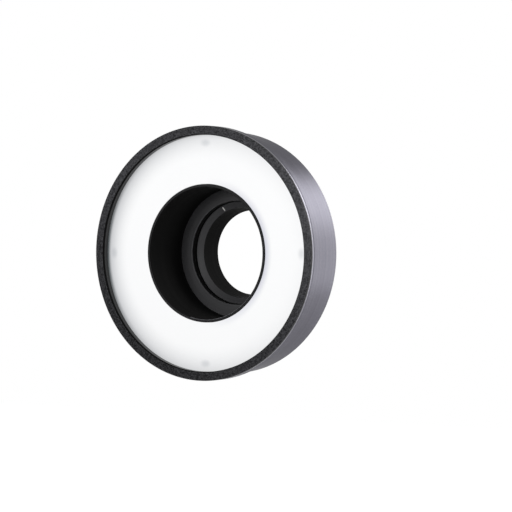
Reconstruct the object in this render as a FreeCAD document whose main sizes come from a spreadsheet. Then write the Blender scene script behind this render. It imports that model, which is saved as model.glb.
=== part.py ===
import FreeCAD, Part
import math
import os
import re
import Sketcher

# LED ring light that clamps round the front of a camera lens.
# The lamp's axis is Y: it shines towards -Y, +Z is up, and the origin is the middle of the lens thread.
# Sizes are in millimetres. Depths are counted from the bezel's front face towards the camera.

SIZES = {
    # Gaps and edges
    "slip_gap": (0.1, "radial gap where one fixed part drops into another"),
    "thread_gap": (0.05, "radial gap of a screwed joint, threads left plain"),
    "face_gap": (0.3, "gap between faces that turn past each other"),
    "running_gap": (0.08, "radial running clearance of the adapter in the collar"),
    "edge_chamfer": (0.35, "chamfer on turned edges"),
    "rear_chamfer": (0.7, "chamfer on the housing's rear edge"),
    # Adapter ring and lens thread. The radii of the whole lamp grow outwards from the thread.
    "lens_thread_radius": (26.0, "M52 lens filter thread, major radius"),
    "lens_thread_length": (4.7, "length of the thread"),
    "adapter_wall": (3.25, "from the thread out to the face that the collar turns on"),
    "adapter_nose_reach": (3.0, "from the groove forward to the adapter ring's front edge"),
    "adapter_nose_step": (3.35, "width of the cone on the adapter's front"),
    "adapter_nose_length": (2.0, "depth of that cone"),
    "adapter_taper": (1.5, "how much the inside narrows towards the camera"),
    "adapter_flange_width": (2.75, "knurled flange behind the collar"),
    "adapter_flange_thickness": (2.0, "thickness of that flange"),
    "groove_depth": (1.35, "V groove that the screw tips enter"),
    "groove_floor": (1.8, "width of the groove's floor"),
    "groove_place": (4.6, "from the collar's front face to the groove and the thumb screws"),
    # Clamp collar and inner tube
    "collar_length": (9.6, "length of the clamp collar"),
    "tube_step_width": (7.12, "width of the inward step in the bore"),
    "tube_step_thickness": (3.0, "thickness of that step"),
    "tube_step_setback": (5.0, "from the housing's rear rim back to the step's face"),
    "tube_wall": (1.65, "wall of the tube"),
    "tube_rim_proud": (0.3, "how far the rim stands in front of the diffuser"),
    "tube_bore_chamfer": (0.5, "chamfer at the mouth of the bore"),
    "tube_shoulder_width": (1.5, "step that carries the diffuser"),
    "tube_shoulder_height": (2.0, "thickness of that step"),
    # Housing and bezel
    "lamp_width": (26.5, "from the tube out to the inside of the housing"),
    "housing_wall": (2.9, "wall of the housing behind the diffuser"),
    "seat_wall": (1.3, "wall of the housing round the diffuser"),
    "bezel_wall": (2.45, "wall of the bezel's skirt"),
    "bezel_lip_width": (5.0, "flat front face, from the edge to the recess"),
    "bezel_lip_thickness": (1.6, "thickness of the front lip"),
    "bezel_depth": (7.25, "length of the bezel's skirt, lip included"),
    "cover_recess": (0.4, "how far the rear cover lies inside the rim"),
    "cover_thickness": (2.6, "rear cover plate"),
    "back_flange_thickness": (3.0, "inward flanges of the housing and the tube behind the cover"),
    "control_room": (6.25, "from the controls' circle to the flanges of the tube and the housing"),
    # Diffuser and what clamps it
    "clamp_ring_height": (3.6, "from the bezel's lip to the diffuser"),
    "clamp_ring_setback": (0.05, "how far the clamp ring's bore lies outside the bezel's recess"),
    "diffuser_thickness": (3.0, "opal acrylic sheet"),
    "gasket_thickness": (0.5, "silicone gasket behind the diffuser"),
    # Thumb screws
    "thumb_screw_count": (3, "thumb screws round the collar"),
    "thumb_screw_angle": (90, "place of the first, degrees from +X towards +Z"),
    "thumb_thread_radius": (2.0, "M4 thread"),
    "thumb_head_radius": (5.5, "knurled head"),
    "thumb_head_length": (9.0, "length of the knurled head"),
    "thumb_neck_gap": (0.9, "gap under the head when tight"),
    "thumb_flute_count": (20, "flutes of the knurled head"),
    "thumb_flute_radius": (0.5, "radius of each flute"),
    "tip_radius": (1.35, "nylon tip"),
    "tip_end_radius": (0.8, "flat end of the nylon tip"),
    "tip_head_length": (1.8, "length of the tip outside the screw"),
    "tip_stem_radius": (0.8, "stem that turns in the end of the screw"),
    "tip_stem_length": (2.4, "length of that stem"),
    "tip_end_gap": (0.1, "play between tip and screw along the axis"),
    # Boards, light sources and reflectors
    "light_chamber": (4.8, "from the tube's shoulder to the LED board"),
    "board_thickness": (1.6, "circuit boards"),
    "board_spacing": (3.4, "between the LED board and the control board"),
    "board_bore_gap": (2.9, "from the tube to the LED board's hole"),
    "board_edge_gap": (0.4, "gap from the LED board to the housing"),
    "led_size": (3.5, "side of one LED package"),
    "led_height": (1.2, "height of one LED package"),
    "led_inner_gap": (6.9, "from the tube to the middle of the inner ring of LEDs"),
    "led_outer_gap": (4.5, "from the middle of the outer ring of LEDs to the standoffs' circle"),
    "led_inner_count": (24, "LEDs in the inner ring"),
    "led_count_step": (6, "more LEDs in each further ring"),
    "resistor_length": (2.0, "chip resistor"),
    "resistor_width": (1.25, "chip resistor"),
    "resistor_height": (0.6, "chip resistor"),
    "resistor_count": (12, "resistors, on the standoffs' circle"),
    "reflector_wall": (0.7, "white liners"),
    "standoff_count": (4, "standoffs and LED board screws"),
    "standoff_flats": (5.0, "across flats"),
    "standoff_stud_length": (2.6, "stud in the housing flange"),
    "standoff_gap": (0.2, "from the LED board's screw heads to the outer reflector"),
    "board_screw_radius": (1.5, "M3 thread"),
    "board_screw_head_radius": (2.75, "M3 pan head"),
    "board_screw_head_height": (2.0, "M3 pan head"),
    "board_screw_length": (6.0, "M3 screw under the head"),
    # Rear cover
    "cover_screw_count": (8, "screws round the cover's edge"),
    "tube_screw_count": (6, "screws round the tube's flange"),
    "small_screw_radius": (1.25, "M2.5 thread"),
    "small_screw_head_radius": (2.25, "M2.5 cap head"),
    "small_screw_head_height": (1.5, "M2.5 cap head"),
    "small_screw_bite": (2.4, "length of thread in a flange"),
    "socket_flats": (1.5, "hexagon socket of the small screws"),
    "socket_depth": (0.9, "depth of that socket"),
    "vent_length": (8.0, "vent slots, end to end"),
    "vent_width": (1.8, "vent slots"),
    "vent_count": (22, "vent slots"),
    "vent_swing": (70, "angle from the power inlet to the nearest vent on each side"),
    "collar_screw_count": (3, "axial screws of the collar, midway between the thumb screws"),
    "collar_screw_seat": (5.6, "collar left under the screw heads"),
    "collar_screw_bite": (2.4, "length of the collar screws in the tube's step"),
    # Control board and what stands on it
    "control_space": (7.8, "from the control board to the rear cover"),
    "control_angle": (270, "place of the power inlet"),
    "control_swing": (30, "angle from the inlet to the dimmer on one side and the switch on the other"),
    "control_post_swing": (19, "angle from the dimmer and the switch to the fixing posts"),
    "control_end_swing": (6, "angle from each fixing post to the board's end"),
    "control_board_gap": (0.6, "from the control board to the standoffs"),
    "post_radius": (2.2, "round spacers of the control board"),
    "control_screw_head_height": (1.4, "pan heads in front of the control board"),
    "header_length": (10.0, "link header between the boards"),
    "header_width": (4.5, "link header between the boards"),
    "header_swing": (24, "angle from the inlet to the header"),
    "capacitor_radius": (2.5, "electrolytic cans"),
    "capacitor_gap": (0.8, "from the end of the cans to the cover"),
    "capacitor_swing": (14, "angle from the inlet to each can"),
    "inductor_side": (7.0, "shielded power inductor"),
    "inductor_height": (4.0, "shielded power inductor"),
    "inductor_swing": (11, "angle from the dimmer to the inductor"),
    "chip_length": (4.9, "driver chips"),
    "chip_width": (3.9, "driver chips"),
    "chip_height": (1.5, "driver chips"),
    "chip_swing": (12, "angle from one driver chip to the next"),
    # Power inlet
    "jack_body_radius": (4.6, "body of the power inlet"),
    "jack_nose_radius": (4.0, "M8 nose of the inlet"),
    "nose_length": (5.2, "nose of the inlet and bushing of the dimmer, from the cover's inside"),
    "jack_bore": (2.8, "hole for the plug"),
    "jack_base": (3.0, "closed end of the inlet, on the control board"),
    "jack_pin_radius": (1.05, "centre pin"),
    "jack_pin_setback": (1.0, "pin below the inlet's mouth"),
    "nut_flats": (11.0, "hexagon nuts of the inlet and the dimmer"),
    "nut_thickness": (2.0, "hexagon nuts of the inlet and the dimmer"),
    # Dimmer
    "pot_side": (9.5, "square body of the dimmer"),
    "bushing_radius": (3.5, "M7 bushing of the dimmer"),
    "shaft_radius": (3.0, "shaft of the dimmer"),
    "shaft_gap": (0.05, "radial clearance of the shaft in its bushing"),
    "shaft_end_gap": (0.4, "play under the end of the shaft"),
    "shaft_root": (2.4, "shaft's end behind the control board"),
    "knob_radius": (6.5, "dimmer knob"),
    "knob_length": (8.4, "dimmer knob"),
    "knob_top": (1.4, "thickness over the end of the shaft"),
    "knob_lift": (0.3, "gap under the knob"),
    "knob_fit": (0.03, "radial gap from knob to shaft"),
    "knob_flute_count": (16, "grip flutes of the knob"),
    "knob_flute_radius": (0.7, "grip flutes of the knob"),
    "knob_skirt": (1.2, "plain skirt under the flutes"),
    "set_screw_height": (3.6, "set screw above the knob's foot"),
    "set_screw_radius": (1.5, "set screw of the knob"),
    "set_screw_sink": (0.45, "outer end of the set screw under the knob's surface"),
    # Power switch
    "switch_width": (8.8, "body of the rocker switch, radially"),
    "switch_wall": (0.8, "wall round the rocker"),
    "switch_flange": (1.0, "flange outside the body"),
    "switch_flange_thickness": (1.2, "flange on the cover"),
    "rocker_radius": (5.5, "round belly of the rocker"),
    "rocker_gap": (0.3, "gap beside the rocker"),
    "rocker_end_gap": (0.6, "gap at the rocker's ends"),
    "rocker_floor_gap": (0.5, "gap under the rocker's belly"),
    "rocker_pivot_drop": (2.2, "pivot below the flange's face"),
    "rocker_wing": (3.6, "height of the rocker's ends over the pivot"),
    "rocker_dip": (2.2, "height of the rocker's middle over the pivot"),
    "rocker_pin_radius": (0.8, "trunnion of the rocker"),
    "rocker_tilt": (8, "tilt of the rocker to each side"),
}

# Radii, angles and places along the axis, each worked out from the sizes above.
PLACES = {
    # Radii, from the lens thread outwards
    "adapter_radius": "lens_thread_radius + adapter_wall",
    "adapter_flange_radius": "adapter_radius + adapter_flange_width",
    "groove_radius": "adapter_radius - groove_depth",
    "nose_radius": "adapter_radius - edge_chamfer",
    "cone_radius": "nose_radius - adapter_nose_step",
    "collar_bore": "adapter_radius + running_gap",
    "tube_bore": "collar_bore + tube_step_width",
    "tube_radius": "tube_bore + tube_wall",
    "tube_clear": "tube_radius + slip_gap",
    "shoulder_radius": "tube_radius + tube_shoulder_width",
    "collar_screw_circle": "(collar_bore + tube_radius) / 2",
    "control_circle": "tube_radius + lamp_width / 2",
    "tube_flange_radius": "control_circle - control_room",
    "housing_flange_bore": "control_circle + control_room",
    "housing_bore": "tube_radius + lamp_width",
    "housing_radius": "housing_bore + housing_wall",
    "seat_bore": "housing_radius - seat_wall",
    "diffuser_radius": "seat_bore - slip_gap",
    "bezel_radius": "housing_radius + thread_gap + bezel_wall",
    "recess_radius": "bezel_radius - bezel_lip_width",
    "tube_screw_circle": "(tube_radius + tube_flange_radius) / 2",
    "cover_screw_circle": "(housing_flange_bore + housing_bore) / 2",
    "board_radius": "housing_bore - board_edge_gap",
    "board_bore": "tube_radius + board_bore_gap",
    "reflector_radius": "board_radius - thread_gap",
    "reflector_bore": "reflector_radius - reflector_wall",
    "standoff_circle": "reflector_bore - standoff_gap - board_screw_head_radius",
    "standoff_reach": "standoff_flats / 2 / cos(30)",
    "control_board_outside": "standoff_circle - standoff_reach - control_board_gap",
    "control_board_inside": "2 * control_circle - control_board_outside",
    "led_inner_circle": "tube_radius + led_inner_gap",
    "led_ring_pitch": "(standoff_circle - led_outer_gap - led_inner_circle) / 2",
    # Angles
    "collar_screw_angle": "thumb_screw_angle - 180 / thumb_screw_count",
    "dimmer_angle": "control_angle + control_swing",
    "switch_angle": "control_angle - control_swing",
    "board_fixing_swing": "control_swing + control_post_swing",
    "control_board_sweep": "2 * (board_fixing_swing + control_end_swing)",
    "vent_first_angle": "control_angle - vent_swing",
    "vent_sweep": "360 - 2 * vent_swing",
    # Places along the axis
    "diffuser_depth": "bezel_lip_thickness + clamp_ring_height",
    "board_depth": "diffuser_depth + diffuser_thickness + tube_shoulder_height + light_chamber",
    "cover_depth": "board_depth + 2 * board_thickness + board_spacing + control_space",
    "housing_depth": "cover_depth + cover_thickness + cover_recess",
    "collar_depth": "housing_depth + tube_step_setback + tube_step_thickness + collar_length",
    "origin_depth": "collar_depth + face_gap + adapter_flange_thickness + lens_thread_length / 2",
    "front": "0 - origin_depth",
    "lip_back": "front + bezel_lip_thickness",
    "bezel_back": "front + bezel_depth",
    "diffuser_front": "front + diffuser_depth",
    "diffuser_back": "diffuser_front + diffuser_thickness",
    "ledge": "diffuser_back + gasket_thickness",
    "rim_front": "diffuser_front - tube_rim_proud",
    "shoulder_back": "diffuser_back + tube_shoulder_height",
    "board_front": "front + board_depth",
    "board_back": "board_front + board_thickness",
    "control_front": "board_back + board_spacing",
    "control_back": "control_front + board_thickness",
    "cover_front": "front + cover_depth",
    "cover_back": "cover_front + cover_thickness",
    "flange_front": "cover_front - back_flange_thickness",
    "housing_end": "front + housing_depth",
    "step_front": "housing_end + tube_step_setback",
    "step_back": "step_front + tube_step_thickness",
    "collar_end": "front + collar_depth",
    "collar_screw_face": "step_back + collar_screw_seat",
    "thumb_axis": "step_back + groove_place",
    "nose_front": "thumb_axis - adapter_nose_reach",
    "nose_inner": "nose_front + adapter_nose_length",
    "groove_front": "thumb_axis - groove_floor / 2",
    "groove_back": "thumb_axis + groove_floor / 2",
    "adapter_flange_front": "collar_end + face_gap",
    "thread_start": "adapter_flange_front + adapter_flange_thickness",
    "thread_end": "thread_start + lens_thread_length",
    "nose_end": "cover_front + nose_length",
    "jack_floor": "control_back + jack_base",
    "shaft_start": "control_back + shaft_root",
    "knob_start": "nose_end + knob_lift",
    "knob_end": "knob_start + knob_length",
    "set_screw_depth": "knob_start + set_screw_height",
    "flange_face": "cover_back + switch_flange_thickness",
    "pivot_depth": "flange_face - rocker_pivot_drop",
    # Places along a thumb screw, outwards
    "tip_end": "groove_radius + face_gap",
    "screw_end": "tip_end + tip_head_length + tip_end_gap",
    "head_start": "tube_radius + thumb_neck_gap",
    "head_end": "head_start + thumb_head_length",
    # Switch
    "cavity_length": "2 * (rocker_radius + rocker_end_gap)",
    "cavity_width": "switch_width - 2 * switch_wall",
    "switch_length": "cavity_length + 2 * switch_wall",
}

FULL_TURN = 360

# Rough places of a new sketch's lines, before its sizes pull them to their own.
ROUGH_X = 50
ROUGH_SPREAD = 10
ROUGH_RADIUS = 3

document = FreeCAD.newDocument("LedRingLight")
sheet = document.addObject("Spreadsheet::Sheet", "Sizes")
for row, (size_name, (size_value, size_note)) in enumerate(SIZES.items(), start=1):
    sheet.set("A%d" % row, size_note)
    sheet.set("B%d" % row, str(size_value))
    sheet.setAlias("B%d" % row, size_name)
document.recompute()


def bound(text):
    """Turns the names of sizes and places in a formula into the sheet's cells."""
    def cell(word):
        name = word.group()
        if name in PLACES:
            return "(" + bound(PLACES[name]) + ")"
        if name in SIZES:
            return "Sizes." + name
        return name
    return re.sub(r"[a-z_]+", cell, text)


def new_body(name):
    """Starts one sub-part. Its Label names its file."""
    body = document.addObject("PartDesign::Body", name)
    body.Label = name
    body.AllowCompound = True
    return body


def origin_part(body, role):
    """Finds a plane or an axis of the body's own origin."""
    for feature in body.Origin.OriginFeatures:
        if feature.Role == role:
            return feature
    raise ValueError(role)


def place(body, x="0", y="0", z="0", turn=None):
    """Moves a body, and turns it about the Y axis by an angle in degrees."""
    if turn is not None:
        body.Placement = FreeCAD.Placement(FreeCAD.Vector(), FreeCAD.Rotation(FreeCAD.Vector(0, 1, 0), 1))
        body.setExpression("Placement.Rotation.Angle", bound(turn))
    for axis, text in (("x", x), ("y", y), ("z", z)):
        if text != "0":
            body.setExpression("Placement.Base." + axis, bound(text))


def place_control(body, angle, depth="0", upright=False):
    """Stands a body on the controls' circle. Upright, its own Z runs outwards."""
    x = "control_circle * cos(%s)" % angle
    z = "control_circle * sin(%s)" % angle
    place(body, x, depth, z, turn="90 - (%s)" % angle if upright else None)


def new_sketch(body, name, role, offset="0", angle=None, about=(0, 0, 1)):
    """Attaches an empty sketch to one of the body's origin planes, turned by an angle."""
    sketch = body.newObject("Sketcher::SketchObject", name)
    sketch.AttachmentSupport = [(origin_part(body, role), "")]
    sketch.MapMode = "FlatFace"
    if angle is not None:
        turned_by = FreeCAD.Rotation(FreeCAD.Vector(*about), 1)
        sketch.AttachmentOffset = FreeCAD.Placement(FreeCAD.Vector(), turned_by)
        sketch.setExpression("AttachmentOffset.Rotation.Angle", bound(angle))
    if offset != "0":
        sketch.setExpression("AttachmentOffset.Base.z", bound(offset))
    return sketch


def pin_point(sketch, geometry, end, x, y, rough):
    """Ties one point of a sketch to formulas for its two coordinates."""
    vertical_axis = -2
    horizontal_axis = -1
    for kind, text, start, axis in (
        ("DistanceX", x, rough.x, vertical_axis),
        ("DistanceY", y, rough.y, horizontal_axis),
    ):
        if text == "0":
            sketch.addConstraint(Sketcher.Constraint("PointOnObject", geometry, end, axis))
        else:
            index = sketch.addConstraint(Sketcher.Constraint(kind, -1, 1, geometry, end, start))
            sketch.setExpression("Constraints[%d]" % index, bound(text))


def draw_polygon(sketch, points):
    """Draws a closed outline whose corners are formulas."""
    count = len(points)
    rough = []
    for i in range(count):
        turn = 2 * math.pi * i / count
        x = ROUGH_X + ROUGH_SPREAD * math.cos(turn)
        rough.append(FreeCAD.Vector(x, ROUGH_SPREAD * math.sin(turn), 0))
    for i in range(count):
        sketch.addGeometry(Part.LineSegment(rough[i], rough[(i + 1) % count]), False)
    for i in range(count):
        sketch.addConstraint(Sketcher.Constraint("Coincident", i, 2, (i + 1) % count, 1))
    for i, (x, y) in enumerate(points):
        pin_point(sketch, i, 1, x, y, rough[i])


def draw_circle(sketch, x, y, radius):
    """Draws a circle whose centre and radius are formulas."""
    middle_point = 3
    rough = FreeCAD.Vector(ROUGH_X, ROUGH_SPREAD, 0)
    index = sketch.addGeometry(Part.Circle(rough, FreeCAD.Vector(0, 0, 1), ROUGH_RADIUS), False)
    pin_point(sketch, index, middle_point, x, y, rough)
    size = sketch.addConstraint(Sketcher.Constraint("Radius", index, ROUGH_RADIUS))
    sketch.setExpression("Constraints[%d]" % size, bound(radius))


def box_corners(x, width, height):
    """Corners of a rectangle about a point on the sketch's x axis."""
    left = "%s - (%s) / 2" % (x, width)
    right = "%s + (%s) / 2" % (x, width)
    low = "0 - (%s) / 2" % height
    high = "(%s) / 2" % height
    return [(left, low), (right, low), (right, high), (left, high)]


def hexagon_corners(x, flats):
    """Corners of a hexagon about a point on the sketch's x axis."""
    corners = []
    for i in range(6):
        angle = 60 * i + 30
        corners.append((
            "%s + %s / 2 / cos(30) * cos(%d)" % (x, flats, angle),
            "%s / 2 / cos(30) * sin(%d)" % (flats, angle),
        ))
    return corners


def turned(body, name, points, axis="V_Axis", centre=None, sweep=None):
    """Turns an outline about the sketch's vertical or horizontal axis, or about an upright line beside it."""
    sketch = new_sketch(body, name + "_outline", "XY_Plane")
    if centre is None:
        draw_polygon(sketch, points)
    else:
        draw_polygon(sketch, [("%s + %s" % (centre, x), y) for x, y in points])
        low = FreeCAD.Vector(ROUGH_X, -2 * ROUGH_SPREAD, 0)
        high = FreeCAD.Vector(ROUGH_X, 2 * ROUGH_SPREAD, 0)
        line = sketch.addGeometry(Part.LineSegment(low, high), True)
        sketch.addConstraint(Sketcher.Constraint("Vertical", line))
        distance = sketch.addConstraint(Sketcher.Constraint("DistanceX", -1, 1, line, 1, low.x))
        sketch.setExpression("Constraints[%d]" % distance, bound(centre))
        axis = "Axis0"
    feature = body.newObject("PartDesign::Revolution", name)
    feature.Profile = (sketch, [""])
    feature.ReferenceAxis = (sketch, [axis])
    feature.Angle = FULL_TURN
    if sweep is not None:
        feature.Midplane = True
        feature.setExpression("Angle", bound(sweep))
    return feature


def along_axis(body, name, start, end, angle, cut, draw, *shape):
    """Pads or cuts a shape along the Y axis. The sketch's x runs outwards at the given angle."""
    depth = end if cut else start
    sketch = new_sketch(body, name + "_shape", "XZ_Plane", "0 - (%s)" % depth, angle)
    draw(sketch, *shape)
    feature = body.newObject("PartDesign::Pocket" if cut else "PartDesign::Pad", name)
    feature.Profile = (sketch, [""])
    feature.setExpression("Length", bound("(%s) - (%s)" % (end, start)))
    feature.Reversed = True
    return feature


def disc(body, name, radius, start, end, centre="0", angle=None, cut=False):
    """A round pad or hole along the Y axis."""
    return along_axis(body, name, start, end, angle, cut, draw_circle, centre, "0", radius)


def prism(body, name, corners, start, end, angle=None, cut=False):
    """A pad or hole with straight sides along the Y axis."""
    return along_axis(body, name, start, end, angle, cut, draw_polygon, corners)


def repeated(body, features, count, sweep=None, axis="Y_Axis"):
    """Repeats features round an axis of the body."""
    pattern = body.newObject("PartDesign::PolarPattern", features[-1].Name + "_pattern")
    pattern.Originals = features
    pattern.Axis = (origin_part(body, axis), [""])
    pattern.Angle = FULL_TURN
    if sweep is not None:
        pattern.setExpression("Angle", bound(sweep))
    pattern.setExpression("Occurrences", bound(count))
    body.Tip = pattern


def ring(name, inner, outer, start, end):
    """A plain turned ring."""
    body = new_body(name)
    turned(body, "turning", [(inner, start), (outer, start), (outer, end), (inner, end)])
    return body


def screw_outline(shank, head, head_end, seat, tip):
    """Half outline of a screw: the head lies from head_end to seat, and the thread ends at tip."""
    return [("0", head_end), (head, head_end), (head, seat), (shank, seat), (shank, tip), ("0", tip)]


def front_bezel():
    body = new_body("front_bezel")
    turned(body, "turning", [
        ("recess_radius", "front + edge_chamfer"),
        ("recess_radius + edge_chamfer", "front"),
        ("bezel_radius - edge_chamfer", "front"),
        ("bezel_radius", "front + edge_chamfer"),
        ("bezel_radius", "bezel_back - edge_chamfer"),
        ("bezel_radius - edge_chamfer", "bezel_back"),
        ("housing_radius + thread_gap", "bezel_back"),
        ("housing_radius + thread_gap", "lip_back"),
        ("recess_radius", "lip_back"),
    ])


def housing_shell():
    body = new_body("housing_shell")
    turned(body, "turning", [
        ("seat_bore", "lip_back + slip_gap"),
        ("housing_radius", "lip_back + slip_gap"),
        ("housing_radius", "housing_end - rear_chamfer"),
        ("housing_radius - rear_chamfer", "housing_end"),
        ("housing_bore + slip_gap", "housing_end"),
        ("housing_bore + slip_gap", "cover_front"),
        ("housing_flange_bore", "cover_front"),
        ("housing_flange_bore", "flange_front"),
        ("housing_bore", "flange_front"),
        ("housing_bore", "ledge"),
        ("seat_bore", "ledge"),
    ])
    stud = disc(body, "stud_hole", "board_screw_radius + thread_gap", "flange_front", "cover_front",
                "standoff_circle", cut=True)
    repeated(body, [stud], "standoff_count")
    screw = disc(body, "cover_screw_hole", "small_screw_radius + thread_gap", "flange_front", "cover_front",
                 "cover_screw_circle", "180 / cover_screw_count", cut=True)
    repeated(body, [screw], "cover_screw_count")


def inner_tube():
    body = new_body("inner_tube")
    turned(body, "turning", [
        ("tube_bore", "rim_front + tube_bore_chamfer"),
        ("tube_bore + tube_bore_chamfer", "rim_front"),
        ("tube_radius - edge_chamfer", "rim_front"),
        ("tube_radius", "rim_front + edge_chamfer"),
        ("tube_radius", "diffuser_back"),
        ("shoulder_radius", "diffuser_back"),
        ("shoulder_radius", "shoulder_back"),
        ("tube_radius", "shoulder_back"),
        ("tube_radius", "flange_front"),
        ("tube_flange_radius", "flange_front"),
        ("tube_flange_radius", "cover_front"),
        ("tube_radius", "cover_front"),
        ("tube_radius", "step_back"),
        ("collar_bore", "step_back"),
        ("collar_bore", "step_front"),
        ("tube_bore", "step_front"),
    ])
    flange_hole = disc(body, "flange_hole", "small_screw_radius + thread_gap", "flange_front", "cover_front",
                       "tube_screw_circle", cut=True)
    repeated(body, [flange_hole], "tube_screw_count")
    step_hole = disc(body, "step_hole", "board_screw_radius + thread_gap",
                     "step_back - collar_screw_bite - slip_gap", "step_back",
                     "collar_screw_circle", "collar_screw_angle", cut=True)
    repeated(body, [step_hole], "collar_screw_count")


def clamp_collar():
    body = new_body("clamp_collar")
    turned(body, "turning", [
        ("collar_bore", "step_back"),
        ("tube_radius", "step_back"),
        ("tube_radius", "collar_end - edge_chamfer"),
        ("tube_radius - edge_chamfer", "collar_end"),
        ("collar_bore", "collar_end"),
    ])
    hole = disc(body, "screw_hole", "board_screw_radius + slip_gap", "step_back", "collar_end",
                "collar_screw_circle", "collar_screw_angle", cut=True)
    repeated(body, [hole], "collar_screw_count")
    sink = disc(body, "screw_sink", "board_screw_head_radius + slip_gap", "collar_screw_face", "collar_end",
                "collar_screw_circle", "collar_screw_angle", cut=True)
    repeated(body, [sink], "collar_screw_count")
    sketch = new_sketch(body, "thumb_hole_shape", "YZ_Plane", angle="0 - thumb_screw_angle", about=(1, 0, 0))
    draw_circle(sketch, "thumb_axis", "0", "thumb_thread_radius + thread_gap")
    thumb_hole = body.newObject("PartDesign::Pocket", "thumb_hole")
    thumb_hole.Profile = (sketch, [""])
    thumb_hole.setExpression("Length", bound("tube_radius + slip_gap"))
    thumb_hole.Reversed = True
    repeated(body, [thumb_hole], "thumb_screw_count")


def adapter_ring():
    body = new_body("adapter_ring")
    turned(body, "turning", [
        ("cone_radius", "nose_inner"),
        ("nose_radius", "nose_front"),
        ("adapter_radius", "nose_front + edge_chamfer"),
        ("adapter_radius", "groove_front - groove_depth"),
        ("groove_radius", "groove_front"),
        ("groove_radius", "groove_back"),
        ("adapter_radius", "groove_back + groove_depth"),
        ("adapter_radius", "adapter_flange_front"),
        ("adapter_flange_radius", "adapter_flange_front"),
        ("adapter_flange_radius", "thread_start"),
        ("lens_thread_radius", "thread_start"),
        ("lens_thread_radius", "thread_end"),
        ("cone_radius - adapter_taper", "thread_end"),
    ])


def diffuser_stack():
    clamp_bore = "recess_radius + clamp_ring_setback"
    ring("diffuser_clamp_ring", clamp_bore, "diffuser_radius", "lip_back", "diffuser_front")
    ring("diffuser", "tube_clear", "diffuser_radius", "diffuser_front", "diffuser_back")
    ring("diffuser_gasket", "housing_bore", "diffuser_radius", "diffuser_back", "ledge")


def reflectors():
    ring("outer_reflector", "reflector_bore", "reflector_radius", "diffuser_back", "board_front")
    body = new_body("inner_reflector")
    turned(body, "turning", [
        ("tube_clear", "shoulder_back"),
        ("tube_clear + reflector_wall", "shoulder_back"),
        ("board_bore + 2 * reflector_wall", "board_front"),
        ("board_bore + reflector_wall", "board_front"),
    ])


def led_board():
    body = ring("led_board", "board_bore", "board_radius", "board_front", "board_back")
    hole = disc(body, "screw_hole", "board_screw_radius + slip_gap", "board_front", "board_back",
                "standoff_circle", cut=True)
    repeated(body, [hole], "standoff_count")


def led_rings():
    for index, name in enumerate(("leds_inner", "leds_middle", "leds_outer")):
        body = new_body(name)
        circle = "led_inner_circle + %d * led_ring_pitch" % index
        count = "led_inner_count + %d * led_count_step" % index
        package = prism(body, "package", box_corners(circle, "led_size", "led_size"),
                        "board_front - led_height", "board_front", "180 / (%s)" % count)
        repeated(body, [package], count)


def led_resistors():
    body = new_body("led_resistors")
    chip = prism(body, "chip", box_corners("standoff_circle", "resistor_width", "resistor_length"),
                 "board_front - resistor_height", "board_front", "180 / resistor_count")
    repeated(body, [chip], "resistor_count")


def board_fixings():
    body = new_body("board_standoffs")
    post = prism(body, "post", hexagon_corners("standoff_circle", "standoff_flats"), "board_back", "flange_front")
    stud = disc(body, "stud", "board_screw_radius", "flange_front", "flange_front + standoff_stud_length",
                "standoff_circle")
    bore = disc(body, "bore", "board_screw_radius + thread_gap", "board_back",
                "board_front + board_screw_length + slip_gap", "standoff_circle", cut=True)
    repeated(body, [post, stud, bore], "standoff_count")

    body = new_body("led_board_screws")
    head_end = "board_front - board_screw_head_height"
    outline = screw_outline("board_screw_radius", "board_screw_head_radius", head_end,
                            "board_front", "board_front + board_screw_length")
    screw = turned(body, "screw", outline, centre="standoff_circle")
    sketch = new_sketch(body, "socket_shape", "XZ_Plane", "0 - (%s)" % head_end)
    draw_polygon(sketch, hexagon_corners("standoff_circle", "socket_flats"))
    socket = body.newObject("PartDesign::Pocket", "socket")
    socket.Profile = (sketch, [""])
    socket.setExpression("Length", bound("socket_depth"))
    repeated(body, [screw, socket], "standoff_count")


def rear_cover():
    body = ring("rear_cover", "tube_clear", "housing_bore", "cover_front", "cover_back")
    plate = ("cover_front", "cover_back")
    edge_hole = disc(body, "edge_hole", "small_screw_radius + slip_gap", *plate,
                     "cover_screw_circle", "180 / cover_screw_count", cut=True)
    repeated(body, [edge_hole], "cover_screw_count")
    flange_hole = disc(body, "flange_hole", "small_screw_radius + slip_gap", *plate,
                       "tube_screw_circle", cut=True)
    repeated(body, [flange_hole], "tube_screw_count")
    vent = prism(body, "vent", box_corners("control_circle", "vent_length", "vent_width"), *plate,
                 "vent_first_angle", cut=True)
    repeated(body, [vent], "vent_count", "vent_sweep")
    disc(body, "inlet_hole", "jack_nose_radius + thread_gap", *plate, "control_circle", "control_angle", cut=True)
    disc(body, "dimmer_hole", "bushing_radius + thread_gap", *plate, "control_circle", "dimmer_angle", cut=True)
    opening = box_corners("control_circle", "switch_width + 2 * slip_gap", "switch_length + 2 * slip_gap")
    prism(body, "switch_hole", opening, *plate, "switch_angle", cut=True)


def cap_screws(name, circle, count, seat, head_height, reach, radii, angle=None):
    """A ring of cap screws put in from behind, with hexagon sockets."""
    body = new_body(name)
    shank, head = radii
    top = "%s + %s" % (seat, head_height)
    outline = screw_outline(shank, head, top, seat, "%s - (%s)" % (seat, reach))
    screw = turned(body, "screw", outline, centre=circle)
    socket = prism(body, "socket", hexagon_corners(circle, "socket_flats"), top + " - socket_depth", top, cut=True)
    repeated(body, [screw, socket], count)
    if angle is not None:
        place(body, turn="0 - " + angle)


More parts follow.
